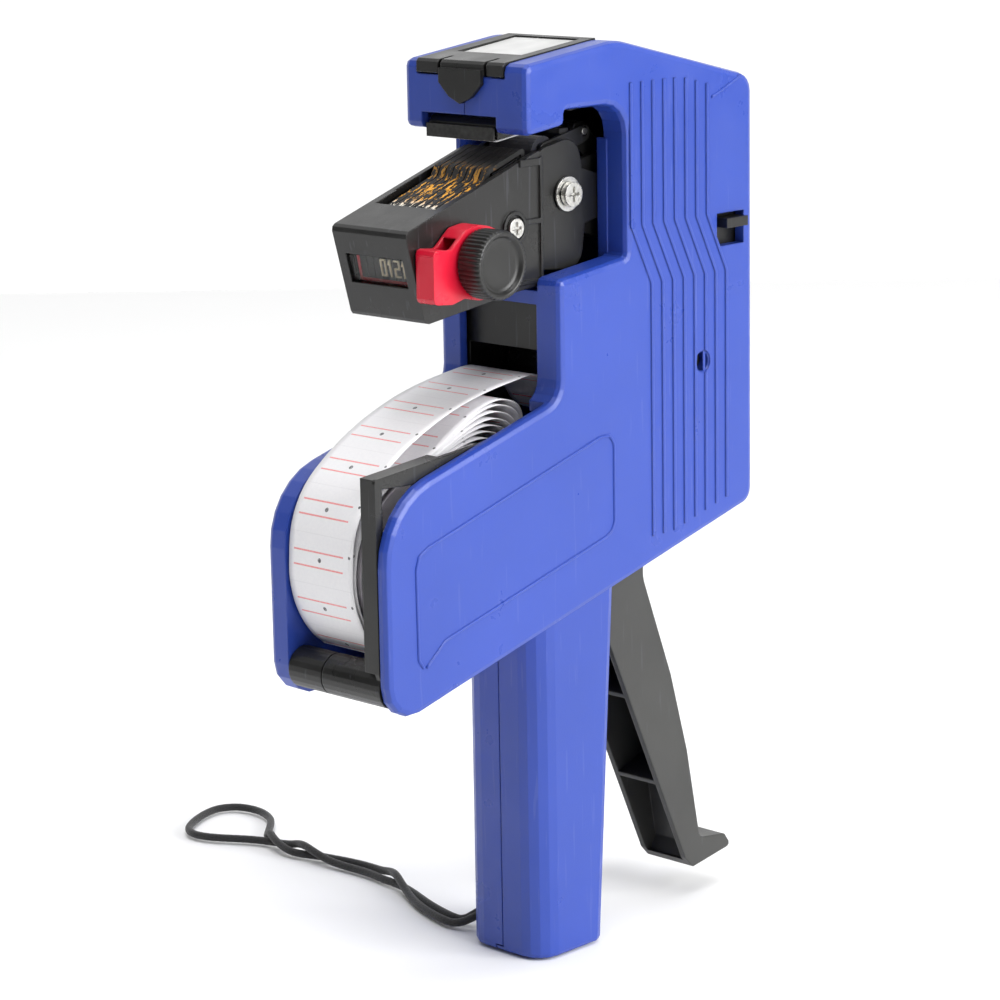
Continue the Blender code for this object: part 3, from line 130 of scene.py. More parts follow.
def skin(name, rings, around=None, along=None):
    """A closed surface through rings of points, an array (rings, points, 3) in metres, with both
    end rings filled. UV u is around[j] at point j of a ring, and v is along[i] at ring i. Faces are
    turned outward if the volume, the sum of a.(b x c) over the triangles, comes out below 0."""
    rings = np.asarray(rings, float)
    m, n = rings.shape[:2]
    around = np.linspace(0, 1, n + 1) if around is None else np.asarray(around, float)
    along = np.linspace(0, 1, m) if along is None else np.asarray(along, float)
    i, j = [a.reshape(-1) for a in np.meshgrid(np.arange(m - 1), np.arange(n), indexing="ij")]
    k = (j + 1) % n
    quads = np.stack([i * n + j, i * n + k, (i + 1) * n + k, (i + 1) * n + j], -1)
    corners = rings.reshape(-1, 3)
    a, b, c, d = (corners[quads[:, q]] for q in range(4))
    volume = (np.cross(b - a, c - a) * (a + b + c)).sum() + (np.cross(c - a, d - a) * (a + c + d)).sum()
    faces = [tuple(q) for q in quads] + [tuple(range(n))[::-1], tuple(range((m - 1) * n, m * n))]
    uv = np.stack([np.stack([around[j], along[i]], -1), np.stack([around[j + 1], along[i]], -1),
                   np.stack([around[j + 1], along[i + 1]], -1), np.stack([around[j], along[i + 1]], -1)], 1)
    if volume < 0:
        faces = [f[::-1] for f in faces]
        uv = uv[:, ::-1]
    ends = np.concatenate([np.stack([around[:n], np.full(n, v)], -1) for v in (along[0], along[-1])])
    mesh = bpy.data.meshes.new(name)
    mesh.from_pydata(corners.tolist(), [], faces)
    layer = mesh.uv_layers.new(name="surface")
    layer.data.foreach_set("uv", np.concatenate([uv.reshape(-1, 2), ends]).astype(np.float32).reshape(-1))
    mesh.polygons.foreach_set("use_smooth", np.ones(len(faces), bool))
    mesh.validate()
    made = bpy.data.objects.new(name, mesh)
    bpy.context.scene.collection.objects.link(made)
    return made


def smooth_curve(points, per_span):
    """Catmull-Rom curve through points, each span p1 to p2 cut into per_span parts."""
    points = [np.asarray(p, float) for p in points]
    ends = [2 * points[0] - points[1]] + points + [2 * points[-1] - points[-2]]
    made = []
    for k in range(1, len(ends) - 2):
        p0, p1, p2, p3 = ends[k - 1:k + 3]
        for s in range(per_span):
            t = s / per_span
            made.append(0.5 * (2 * p1 + (p2 - p0) * t + (2 * p0 - 5 * p1 + 4 * p2 - p3) * t ** 2
                               + (3 * p1 - p0 - 3 * p2 + p3) * t ** 3))
    return np.array(made + [points[-1]])


CORD_R = 0.00105       # radius of the braid
CORD_HOLE = 0.0053     # height of the cord in the handle's hole
CORD_LOW = 0.00115     # height of its middle where it lies on the floor
PLAIT = 0.0045         # length along the cord of one crossing of the plaits
cord_line = [(-1.0, 11.8), (-2.0, 15.8), (-4.6, 20.0), (-5.2, 26.0), (-2.2, 36.9), (1.5, 45.9), (4.8, 54.9),
             (7.5, 64.9), (7.9, 72.9), (6.7, 81.9), (5.5, 90.9), (5.6, 98.4), (6.7, 106.4)]
cord_loop = [(10.2, 111.5), (15.5, 116.3), (20.5, 121.7), (23.2, 128.9), (22.2, 136.3), (16.6, 140.0),
             (7.9, 137.8), (0.1, 133.0), (-2.6, 127.5), (-1.1, 121.5), (2.5, 115.5), (4.9, 111.3)]
crossings, half_gaps = [6, 10, 12], [1.9, 1.9, 1.35]


def strand(side):
    """One strand in millimetres: the middle line moved sideways by gap * sqrt(sin) between
    crossings, and lifted 2.5 exp(-(distance / 8)^2) where it passes over the other strand."""
    middle = smooth_curve([(x, y, 0.0) for x, y in cord_line], 2)
    places = [2 * c for c in crossings]
    points = []
    for i, spot in enumerate(middle):
        span = next(k for k, place in enumerate(places) if i <= place)
        start = places[span - 1] if span else -places[0]
        wave = math.sin(math.pi * (i - start) / (places[span] - start))
        apart = half_gaps[span] * max(wave, 0.0) ** 0.5 * side * (-1) ** span
        ahead = middle[min(i + 1, len(middle) - 1)] - middle[max(i - 1, 0)]
        ahead /= np.linalg.norm(ahead)
        drop = min(max((spot[1] - 13.5) / 9.0, 0.0), 1.0)
        low, hole = 1000 * CORD_LOW, 1000 * CORD_HOLE
        height = low + (hole - low) * (1 - drop * drop * (3 - 2 * drop))
        for k, place in enumerate(places):
            if (-1) ** k == side:
                height += 2.5 * math.exp(-(np.linalg.norm(middle[place] - spot) / 8.0) ** 2)
        points.append((spot[0] - ahead[1] * apart, spot[1] + ahead[0] * apart, height))
    return points


out, home = strand(1), strand(-1)
round_end = [(x, y, 1000 * CORD_LOW) for x, y in cord_loop]
loop = smooth_curve([out[-2], out[-1]] + round_end + [home[-1], home[-2]], 2)[2:-2]
route = np.array(out[:-1] + [tuple(p) for p in loop] + home[:-1][::-1]) / 1000.0


def even_steps(points, step):
    """A curve resampled so that its points are step apart."""
    run = np.concatenate([[0], np.cumsum(np.linalg.norm(np.diff(points, axis=0), axis=1))])
    at = np.linspace(0, run[-1], int(run[-1] / step) + 1)
    return np.stack([np.interp(at, run, points[:, k]) for k in range(3)], -1), at


def tube_rings(centre, radius, sides):
    """Rings round a centre line. radius(angle, distance) gives the section; each ring's frame is
    carried from the last one along the line, so the section doesn't twist."""
    ahead = np.gradient(centre, axis=0)
    ahead /= np.linalg.norm(ahead, axis=1)[:, None]
    run = np.concatenate([[0], np.cumsum(np.linalg.norm(np.diff(centre, axis=0), axis=1))])
    side = np.cross(ahead[0], (0, 0, 1.0))
    angle = np.arange(sides) * 2 * math.pi / sides
    rings = []
    for spot, way, s in zip(centre, ahead, run):
        side = side - way * side.dot(way)
        side /= np.linalg.norm(side)
        over = np.cross(way, side)
        r = radius(angle, s)[:, None]
        rings.append(spot + r * (np.cos(angle)[:, None] * side + np.sin(angle)[:, None] * over))
    return np.array(rings)


def braid(angle, s):
    """Section of a braid of 8 + 8 plaits: r = R (0.9 + 0.1 max(|cos(4a + ks)|, |cos(4a - ks)|))."""
    k = 2 * math.pi / PLAIT
    return CORD_R * (0.9 + 0.1 * np.maximum(abs(np.cos(4 * angle + k * s)), abs(np.cos(4 * angle - k * s))))


cord_centre, cord_run = even_steps(smooth_curve(route, 3), 0.00036)
cord = skin("wrist_cord_braid", tube_rings(cord_centre, braid, 24), along=cord_run / PLAIT)

# Braided nylon, dyed black: dull, paler where it has rubbed, and with a little sheen. The crests of
# the plaits are painted lighter, a painted highlight.
cord_black, tree = material("braided_black_nylon")
uv = node(tree, "UVMap", uv_map="surface").outputs[0]
across = node(tree, "SeparateXYZ", [(uv, 0)])
four_round = calc(tree, "MULTIPLY", across.outputs[0], 4.0)
plaits = []
for slant in ("ADD", "SUBTRACT"):
    wave = calc(tree, "MULTIPLY", calc(tree, slant, four_round, across.outputs[1]), 2 * math.pi)
    plaits.append(calc(tree, "ABSOLUTE", calc(tree, "SINE", wave)))
plait = calc(tree, "MAXIMUM", *plaits)
spot = node(tree, "TexCoord").outputs["Object"]
fibre = node(tree, "TexNoise", [(spot, "Vector")], i_Scale=per_mm(9.0), i_Detail=3.0).outputs[0]
faded = node(tree, "TexNoise", [(spot, "Vector")], i_Scale=per_mm(0.06), i_Detail=2.0).outputs[0]
# Painted highlight: the colour goes paler where the plaits and the fibre noise are high.
shade = blend_colour(tree, calc(tree, "MULTIPLY", plait, fibre), "#0a0a0b", "#29292a")
shade = blend_colour(tree, spread(tree, faded, 0.4, 0.7, 0.0, 0.35), shade, "#343231")
bump = node(tree, "Bump", [(calc(tree, "MULTIPLY", plait, fibre), "Height")],
            i_Strength=0.5, i_Distance=0.0002)
finish = node(tree, "BsdfPrincipled", [(shade, "Base Color"), (bump.outputs[0], "Normal")],
              i_Roughness=0.78, i_Sheen_Weight=0.25)
node(tree, "OutputMaterial", [(finish.outputs[0], 0)])
cord.data.materials.append(cord_black)
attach(cord, "casing")
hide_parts("wrist_cord")


# ------------------------------------------------------------------------------------------------
# Casing: two halves moulded in blue ABS with a fine satin grain, screwed together from the far
# side. The knob side carries the raised outlines of two plain panels and a soft crease.
# ------------------------------------------------------------------------------------------------
GRAIN_DEPTH = 0.00004    # height of the satin grain, in metres


def moulded(name, base, pale, rough, edge):
    """Moulded ABS: base drifting to pale every 45 mm or so, a satin grain, patches of other gloss
    about 14 mm apart, faint hairline scuffs, and edges rounded by edge metres."""
    made, tree = material(name)
    spot = node(tree, "TexCoord").outputs["Object"]
    drift = node(tree, "TexNoise", [(spot, "Vector")], i_Scale=per_mm(0.022), i_Detail=3.0).outputs[0]
    worn = node(tree, "TexNoise", [(spot, "Vector")], i_Scale=per_mm(0.07), i_Detail=5.0,
                i_Roughness=0.6).outputs[0]
    fine = node(tree, "TexNoise", [(spot, "Vector")], i_Scale=per_mm(2.6), i_Detail=2.0).outputs[0]
    stretched = node(tree, "Mapping", [(spot, "Vector")], i_Rotation=(0.4, 0.9, 0.3),
                     i_Scale=(per_mm(0.9), per_mm(0.9), per_mm(0.06)))
    hair = node(tree, "TexNoise", [(stretched.outputs[0], "Vector")], i_Scale=1.0, i_Detail=1.0).outputs[0]
    scuff = spread(tree, hair, 0.68, 0.74, 0.0, 1.0)
    shade = blend_colour(tree, spread(tree, drift, 0.3, 0.7, 0.0, 1.0), base, pale)
    shade = blend_colour(tree, calc(tree, "MULTIPLY", scuff, 0.035), shade, "#b8bcd0")
    gloss = spread(tree, worn, 0.35, 0.7, rough - 0.07, rough + 0.1)
    round_edge = node(tree, "Bevel", i_Radius=edge, samples=4).outputs[0]
    height = calc(tree, "SUBTRACT", fine, calc(tree, "MULTIPLY", scuff, 0.3))
    bump = node(tree, "Bump", [(height, "Height"), (round_edge, "Normal")],
                i_Strength=0.5, i_Distance=GRAIN_DEPTH)
    finish = node(tree, "BsdfPrincipled",
                  [(shade, "Base Color"), (gloss, "Roughness"), (bump.outputs[0], "Normal")])
    node(tree, "OutputMaterial", [(finish.outputs[0], 0)])
    return made


def finish_nodes(made, *names):
    """Gives CAD nodes a material in their own slots."""
    for name in names:
        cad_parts[name].data.materials[0] = made


SIDE_FACE = -0.0200    # the knob side of the casing


def ridge(name, points, radius):
    """A raised line on the knob side through (x, z) points in millimetres: a rod half sunk in it."""
    line, _ = even_steps(np.array([(x / 1000.0, SIDE_FACE, z / 1000.0) for x, z in points]), 0.0009)
    made = skin(name, tube_rings(line, lambda a, s: np.full(len(a), radius), 12))
    made.data.materials.append(blue)
    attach(made, "casing")


blue = moulded("blue_abs_satin", "#27429c", "#2b46a4", 0.34, 0.0005)
finish_nodes(blue, "casing_right", "casing_left")
panel = [(-57.0, 86.5), (-58.4, 88.5), (-58.6, 110.0), (-57.6, 113.0), (-54.5, 114.6), (4.4, 131.2),
         (7.8, 131.2), (9.4, 129.0), (9.4, 109.6), (8.2, 107.2), (6.0, 106.2), (-49.6, 91.6), (-56.0, 86.3)]
ridge("panel_outline", panel, 0.0004)
shallow = [(-5.6, 139.0), (-5.6, 167.5), (-4.6, 168.5), (8.9, 168.5), (9.9, 167.5), (9.9, 139.5),
           (8.9, 138.0), (-4.6, 137.6), (-5.6, 138.8)]
ridge("shallow_panel_outline", shallow, 0.0002)
ridge("corner_crease", [(57.4, 214.2), (52.0, 211.9), (46.2, 209.6)], 0.00035)


# ------------------------------------------------------------------------------------------------
# Labels: white self-adhesive price labels 12 mm apart on a backing strip 21.5 mm wide, each with
# two salmon lines and a feed mark. The strip leaves the roll and runs through the gun.
# ------------------------------------------------------------------------------------------------
LABEL = 12.0           # from one label to the next, in millimetres along the strip


def round_mark(tree, across, along, u, v, radius_squared):
    """A printed dot: 1 where (across - u)^2 + (along - v)^2 < radius_squared, in millimetres."""
    du = calc(tree, "POWER", calc(tree, "SUBTRACT", across, u), 2.0)
    dv = calc(tree, "POWER", calc(tree, "SUBTRACT", along, v), 2.0)
    return calc(tree, "LESS_THAN", calc(tree, "ADD", du, dv), radius_squared)


def printed_paper(name):
    """Coated label paper printed once every label. UV is in millimetres: u across the strip, v along
    it. The two lines are 3.6 mm apart and 16.6 mm long, with a dot between them, a feed mark near
    the strip's edge and a faint cut between labels."""
    made, tree = material(name)
    uv = node(tree, "UVMap", uv_map="surface").outputs[0]
    at = node(tree, "SeparateXYZ", [(uv, 0)])
    u, v = at.outputs[0], at.outputs[1]
    in_label = calc(tree, "PINGPONG", calc(tree, "ADD", v, LABEL / 2), LABEL / 2)
    within = calc(tree, "LESS_THAN", calc(tree, "ABSOLUTE", calc(tree, "SUBTRACT", u, 11.6)), 8.3)
    line = calc(tree, "LESS_THAN", calc(tree, "ABSOLUTE", calc(tree, "SUBTRACT", in_label, 1.8)), 0.2)
    red = calc(tree, "MULTIPLY", line, within)
    cut = calc(tree, "GREATER_THAN", in_label, 5.9)
    step_v = calc(tree, "MODULO", calc(tree, "ADD", v, 50 * LABEL), LABEL)
    dot = round_mark(tree, u, step_v, 11.2, 6.0, 0.32)
    mark = round_mark(tree, u, step_v, 1.3, 8.0, 0.14)
    spot = node(tree, "TexCoord").outputs["Object"]
    pulp = node(tree, "TexNoise", [(spot, "Vector")], i_Scale=per_mm(1.5), i_Detail=4.0).outputs[0]
    patch = node(tree, "TexNoise", [(spot, "Vector")], i_Scale=per_mm(2.6), i_Detail=1.0).outputs[0]
    white = blend_colour(tree, pulp, "#e9e8ec", "#f4f3f4")
    thin_red = calc(tree, "MULTIPLY", red, spread(tree, patch, 0.2, 0.6, 0.6, 0.95))
    shade = blend_colour(tree, thin_red, white, "#ea8484")
    shade = blend_colour(tree, calc(tree, "MULTIPLY", cut, 0.09), shade, "#8f8d95")
    marks = calc(tree, "MAXIMUM", dot, mark)
    thin_black = calc(tree, "MULTIPLY", marks, spread(tree, patch, 0.25, 0.6, 0.5, 0.95))
    shade = blend_colour(tree, thin_black, shade, "#2b2a30")
    height = calc(tree, "SUBTRACT", calc(tree, "MULTIPLY", pulp, 0.3), cut)
    bump = node(tree, "Bump", [(height, "Height")], i_Strength=0.35, i_Distance=0.00008)
    finish = node(tree, "BsdfPrincipled", [(shade, "Base Color"), (bump.outputs[0], "Normal")],
                  i_Roughness=0.52)
    node(tree, "OutputMaterial", [(finish.outputs[0], 0)])
    return made


def ribbon(name, path, low_y, high_y, thick, start=0.0, across=12):
    """A flat strip along path, (x, z) points in metres, from low_y to high_y. The section is a
    slim rectangle, and UV is in millimetres across the strip and along it."""
    line = np.array([(x, 0.0, z) for x, z in path])
    line, run = even_steps(smooth_curve(line, 4), 0.0008)
    ahead = np.gradient(line, axis=0)
    ahead /= np.linalg.norm(ahead, axis=1)[:, None]
    out_way = np.stack([-ahead[:, 2], np.zeros(len(ahead)), ahead[:, 0]], -1)
    ys = np.linspace(low_y, high_y, across)
    ring_y = np.concatenate([ys, ys[::-1]])
    side = np.concatenate([np.ones(across), -np.ones(across)]) * thick / 2
    rings = line[:, None, :] + side[None, :, None] * out_way[:, None, :]
    rings[:, :, 1] += ring_y[None, :]
    around = 1000 * (np.append(ring_y, ring_y[0]) - low_y)
    return skin(name, rings, around, 1000 * run + start)


paper = printed_paper("printed_label_paper")
LOW_Y, HIGH_Y = -0.00825, 0.01325    # the strip's two edges
roll_x, roll_z = -0.0429, 0.1070     # the roll's axis
FEED = (0.0169, 0.1455)              # the feed wheel's axis


def metres(points):
    """Points in millimetres, in metres."""
    return [tuple(part / 1000 for part in point) for point in points]


def round_arc(centre, radius, start, end, steps):
    """Points of an arc in the X-Z plane, angles in degrees."""
    return [(centre[0] + radius * math.cos(math.radians(start + (end - start) * i / steps)),
             centre[1] + radius * math.sin(math.radians(start + (end - start) * i / steps)))
            for i in range(steps + 1)]


strip_path = round_arc((roll_x, roll_z), 0.0246, 235, 178, 6)
strip_path += metres([
    (-66.4, 117.5), (-61.9, 125.9), (-53.6, 132.7), (-44.6, 137.8), (-33.6, 142.1), (-23.1, 144.7),
    (-13.0, 146.2), (-5.6, 146.7), (0.4, 144.1)])
strip_path += round_arc(FEED, 0.0124, 208, 360, 9)
strip_path += metres([
    (29.3, 162.5), (29.3, 182.5), (29.0, 198.5), (26.8, 205.5), (21.9, 210.1), (14.4, 211.9),
    (5.4, 211.1), (-1.1, 209.5), (-3.8, 207.7), (-5.7, 205.6), (-7.2, 205.0), (-11.6, 204.45),
    (-17.6, 203.7)])
strip = ribbon("label_web", strip_path, LOW_Y, HIGH_Y, 0.00016, start=3.0)
strip.data.materials.append(paper)
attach(strip, "casing")
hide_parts("label_strip")


# ------------------------------------------------------------------------------------------------
# Slack turns: the outer turns of the roll have sprung loose and stand up as a fan of sheets
# behind the strip, each a turn of the same printed paper.
# ------------------------------------------------------------------------------------------------
def loose_turn(bulge, peak, from_angle, to_angle, radius):
    """One turn: r = radius + bulge exp(-((angle - peak) / width)^2) about the roll, with a width of
    15 degrees below the peak and 26 above it."""
    points = []
    for a in np.linspace(from_angle, to_angle, 90):
        away = (a - peak + 180.0) % 360.0 - 180.0
        r = radius + bulge * math.exp(-(away / (15.0 if away < 0 else 26.0)) ** 2)
        points.append((roll_x + r * math.cos(math.radians(a)), roll_z + r * math.sin(math.radians(a))))
    return points


turns = [loose_turn(0.0220, 46.0, 238, 592, 0.0236)]
turns += [loose_turn(0.0206 - 0.0017 * k, 45.6 - 0.5 * k, 0.0, 112.0, 0.0235 - 0.0001 * k)
          for k in range(9)]
for k, turn in enumerate(turns):
    low_edge, high_edge = LOW_Y + 0.0002 * (k % 3), HIGH_Y - 0.0002 * ((k + 1) % 3)
    sheet = ribbon(f"slack_turn_{k}", turn, low_edge, high_edge, 0.00014, start=3.1 * k)
    sheet.data.materials.append(paper)
    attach(sheet, "casing")
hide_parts("loose_turns")


# ------------------------------------------------------------------------------------------------
# Roll of labels: paper wound on a pale core. Its sides show the edges of the turns as rings.
# ------------------------------------------------------------------------------------------------
def wound_paper(name, low, high, turn, rough):
    """Paper or plastic wound round the roll's axis: sqrt(dx^2 + dz^2) folded back and forth every
    turn metres gives the rings on its sides."""
    made, tree = material(name)
    spot = node(tree, "TexCoord").outputs["Object"]
    at = node(tree, "SeparateXYZ", [(spot, 0)])
    dx = calc(tree, "POWER", calc(tree, "SUBTRACT", at.outputs[0], roll_x), 2.0)
    dz = calc(tree, "POWER", calc(tree, "SUBTRACT", at.outputs[2], roll_z), 2.0)
    radius = calc(tree, "SQRT", calc(tree, "ADD", dx, dz))
    uneven = node(tree, "TexNoise", [(spot, "Vector")], i_Scale=per_mm(0.4), i_Detail=2.0).outputs[0]
    rings = calc(tree, "PINGPONG", calc(tree, "ADD", radius, calc(tree, "MULTIPLY", uneven, 0.0002)), turn)
    amount = spread(tree, rings, 0.0, turn, 0.0, 1.0)
    shade = blend_colour(tree, amount, low, high)
    bump = node(tree, "Bump", [(amount, "Height")], i_Strength=0.4, i_Distance=0.0001)
    finish = node(tree, "BsdfPrincipled", [(shade, "Base Color"), (bump.outputs[0], "Normal")],
                  i_Roughness=rough)
    node(tree, "OutputMaterial", [(finish.outputs[0], 0)])
    return made


finish_nodes(wound_paper("roll_of_labels", "#c9c3cc", "#f1eff2", 0.00025, 0.6), "label_roll")
finish_nodes(wound_paper("roll_core_plastic", "#cfcabd", "#dcd8cc", 0.0011, 0.45), "roll_core")

# ------------------------------------------------------------------------------------------------
# Black mouldings: head, arm, bracket, cover, tab, feed parts and nose cover, in black ABS that is
# a little shiny where it has been handled.
# ------------------------------------------------------------------------------------------------
black = moulded("black_abs_satin", "#0f0f0f", "#181817", 0.33, 0.0004)
finish_nodes(black, "head_housing", "arm_yoke", "arm_bracket", "roll_cover", "cover_knuckle", "release_tab",
             "nose_cover", "ink_holder", "roll_hub", "platen", "label_chute", "feed_wheel", "ratchet_wheel",
             "feed_pawl", "type_block")

# ------------------------------------------------------------------------------------------------
# Recess shade: a black sheet between the arm's tail and the label strip, bent to follow the strip up
# the back and over to the nose. It is painted shade, put there so that the side recess is dark behind
# the arm.
# ------------------------------------------------------------------------------------------------
shade_sheet_path = metres([
    (27.8, 160.5), (27.8, 172.5), (27.8, 186.5), (27.5, 198.1), (25.3, 203.9), (21.2, 207.9),
    (14.9, 209.9), (6.4, 209.3)])
# Painted shade: a black sheet that makes the side recess dark behind the arm.
shade_sheet = ribbon("recess_shade_sheet", shade_sheet_path, -0.0098, 0.0138, 0.0005)
shade_sheet.data.materials.append(black)
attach(shade_sheet, "casing")

# ------------------------------------------------------------------------------------------------
# Recess return: the blue wall at the rear of the side recess, turned in towards the arm.
# ------------------------------------------------------------------------------------------------
return_path = metres([(15.1, z) for z in (170.0, 180.0, 190.0, 196.0, 202.0)])
return_wall = ribbon("recess_return", return_path, -0.0138, -0.0106, 0.0008)
return_wall.data.materials.append(blue)
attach(return_wall, "casing")

# ------------------------------------------------------------------------------------------------
# Trigger: one ribbed moulding in dark grey ABS, swinging on the pin at the back of the casing.
# ------------------------------------------------------------------------------------------------
trigger_grey = moulded("trigger_grey_abs", "#2c2c2b", "#383836", 0.42, 0.0006)
finish_nodes(trigger_grey, "trigger_lever")

# ------------------------------------------------------------------------------------------------
# Selector: the pointer that slides along the head to choose a band, with the print knob's shaft
# through it. It is moulded in red ABS, glossier than the casing.
# ------------------------------------------------------------------------------------------------
pointer_red = moulded("pointer_red_abs", "#c8102c", "#d41534", 0.3, 0.0006)
finish_nodes(pointer_red, "selector_pointer")


# ------------------------------------------------------------------------------------------------
# Print knob: a black moulded knob with a fluted rim and a shallow dished face, pressed on the
# selector shaft.
# ------------------------------------------------------------------------------------------------
FLUTES, FLUTE_DEPTH, KNOB_SIDES = 44, 0.42, 264
knob_x, knob_z = -0.0341, 0.1779


def knob_rings():
    """A profile of (y, radius, share of the flutes' depth) in millimetres, swept round the shaft:
    radius - share * depth * (1 - |cos(22 a)|)^1.5 at angle a, which makes 44 flutes."""
    profile = np.array([
        (-18.6, 2.15, 0), (-18.6, 7.4, 0), (-18.8, 7.9, .4), (-19.1, 8.15, 1), (-20.6, 8.2, 1),
        (-22.4, 8.2, 1), (-24.2, 8.2, 1), (-24.9, 8.1, .9), (-25.35, 7.9, .5), (-25.6, 7.5, .1),
        (-25.6, 7.1, 0), (-25.45, 6.8, 0), (-24.9, 6.5, 0), (-24.5, 6.1, 0), (-24.4, 5.2, 0),
        (-24.4, 4.0, 0), (-24.45, 2.15, 0)])
    y, radius, share = profile.T[:, :, None]
    angle = np.arange(KNOB_SIDES) * 2 * math.pi / KNOB_SIDES
    flute = (1 - abs(np.cos(FLUTES / 2 * angle))) ** 1.5
    reach = (radius - FLUTE_DEPTH * share * flute) / 1000
    across = np.broadcast_to(y / 1000, reach.shape)
    return np.stack([knob_x + reach * np.cos(angle), across, knob_z + reach * np.sin(angle)], -1)


knob = skin("knob_fluted", knob_rings())
knob.data.materials.append(moulded("knob_black_abs", "#111110", "#1c1c1b", 0.35, 0.0002))
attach(knob, "knob")
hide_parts("print_knob")


# ------------------------------------------------------------------------------------------------
# Pins, axles, screws, link and spring: steel, zinc plated and a little dulled.
# ------------------------------------------------------------------------------------------------
def plated(name, base, pale, rough):
    """Plated steel: a crystalline spangle about 1 mm wide, and dull spots about 3 mm apart."""
    made, tree = material(name)
    spot = node(tree, "TexCoord").outputs["Object"]
    spangle = node(tree, "TexVoronoi", [(spot, "Vector")], i_Scale=per_mm(0.9)).outputs[0]
    dull = node(tree, "TexNoise", [(spot, "Vector")], i_Scale=per_mm(0.3), i_Detail=4.0).outputs[0]
    shade = blend_colour(tree, spread(tree, spangle, 0.0, 0.9, 0.0, 1.0), base, pale)
    gloss = spread(tree, dull, 0.35, 0.7, rough, rough + 0.22)
    round_edge = node(tree, "Bevel", i_Radius=0.0003, samples=4).outputs[0]
    bump = node(tree, "Bump", [(dull, "Height"), (round_edge, "Normal")], i_Strength=0.3, i_Distance=0.00005)
    finish = node(tree, "BsdfPrincipled",
                  [(shade, "Base Color"), (gloss, "Roughness"), (bump.outputs[0], "Normal")], i_Metallic=1.0)
    node(tree, "OutputMaterial", [(finish.outputs[0], 0)])
    return made


steel = plated("zinc_plate", "#b9b8b4", "#dad9d4", 0.22)
finish_nodes(steel, "arm_pivot_shaft", "casing_screw_1", "casing_screw_2", "casing_screw_3",
             "casing_screw_4", "casing_screw_5", "cord_bar", "cover_hinge_pin", "drive_link", "feed_axle",
             "head_side_screw", "ink_hinge_pin", "ink_roller_axle", "lever_spring", "lid_hinge_pin",
             "link_pin_high", "link_pin_low", "pawl_pin", "pivot_screw", "pivot_washer", "selector_shaft")
finish_nodes(plated("dark_plate", "#3a3a3a", "#4a4a49", 0.4), "lever_pin", "peel_bar")


# ------------------------------------------------------------------------------------------------
# Type bands: eight rubber bands with raised type round them, specked with gold and white ink,
# and the ivory figures that show in the window.
# ------------------------------------------------------------------------------------------------
def inked_rubber():
    """Moulded black rubber with dried ink on its top side: ochre, and white towards the window, in
    specks drawn out to 4 mm along the bands and 1 mm across. Dull, with a fine rough skin."""
    made, tree = material("inked_rubber")
    spot = node(tree, "TexCoord").outputs["Object"]
    at = node(tree, "SeparateXYZ", [(spot, 0)])
    drawn = node(tree, "Mapping", [(spot, "Vector")],
                 i_Scale=(per_mm(0.26), per_mm(1.0), per_mm(0.5))).outputs[0]
    speck = node(tree, "TexNoise", [(drawn, "Vector")], i_Scale=1.0, i_Detail=3.0,
                 i_Roughness=0.7).outputs[0]
    fine = node(tree, "TexNoise", [(spot, "Vector")], i_Scale=per_mm(3.0), i_Detail=2.0).outputs[0]
    above = spread(tree, at.outputs[2], 0.1845, 0.1865, 0.0, 1.0)
    near = spread(tree, at.outputs[0], -0.018, -0.026, 0.0, 1.0)
    specks = spread(tree, speck, 0.545, 0.57, 0.0, 1.0)
    amount = calc(tree, "MULTIPLY", calc(tree, "MULTIPLY", specks, above), near)
    ink = blend_colour(tree, spread(tree, at.outputs[0], -0.0330, -0.0365, 0.0, 1.0), "#eaa52c", "#f0eadb")
    rubber = blend_colour(tree, fine, "#0e0e0e", "#1d1c1b")
    shade = blend_colour(tree, amount, rubber, ink)
    bump = node(tree, "Bump", [(fine, "Height")], i_Strength=0.4, i_Distance=0.0001)
    finish = node(tree, "BsdfPrincipled", [(shade, "Base Color"), (bump.outputs[0], "Normal")],
                  i_Roughness=0.6)
    node(tree, "OutputMaterial", [(finish.outputs[0], 0)])
    return made


finish_nodes(inked_rubber(), "type_bands")

# Strokes of each figure, from and to, in parts of its width and height.
STROKES = {
    "0": [((0, 0), (0, 1)), ((0, 1), (1, 1)), ((1, 1), (1, 0)), ((1, 0), (0, 0))],
    "1": [((.5, 0), (.5, 1)), ((.5, 1), (.15, .75))],
    "2": [((0, 1), (1, 1)), ((1, 1), (1, .5)), ((1, .5), (0, .5)), ((0, .5), (0, 0)), ((0, 0), (1, 0))],
    "5": [((1, 1), (0, 1)), ((0, 1), (0, .5)), ((0, .5), (1, .5)), ((1, .5), (1, 0)), ((1, 0), (0, 0))]}


def bars(name, boxes):
    """Separate closed bars in one mesh: each is (centre, half length way, half width way, half
    thickness way), four vectors."""
    verts, faces = [], []
    for centre, a, b, c in boxes:
        base = len(verts)
        for sc in (-1, 1):
            for sa, sb in ((-1, -1), (1, -1), (1, 1), (-1, 1)):
                verts.append(tuple(centre + sa * a + sb * b + sc * c))
        turned = np.dot(np.cross(a, b), c) < 0
        for f in ((0, 3, 2, 1), (4, 5, 6, 7), (0, 1, 5, 4), (1, 2, 6, 5), (2, 3, 7, 6), (3, 0, 4, 7)):
            faces.append(tuple(base + i for i in (f[::-1] if turned else f)))
    mesh = bpy.data.meshes.new(name)
    mesh.from_pydata(verts, [], faces)
    made = bpy.data.objects.new(name, mesh)
    bpy.context.scene.collection.objects.link(made)
    return made


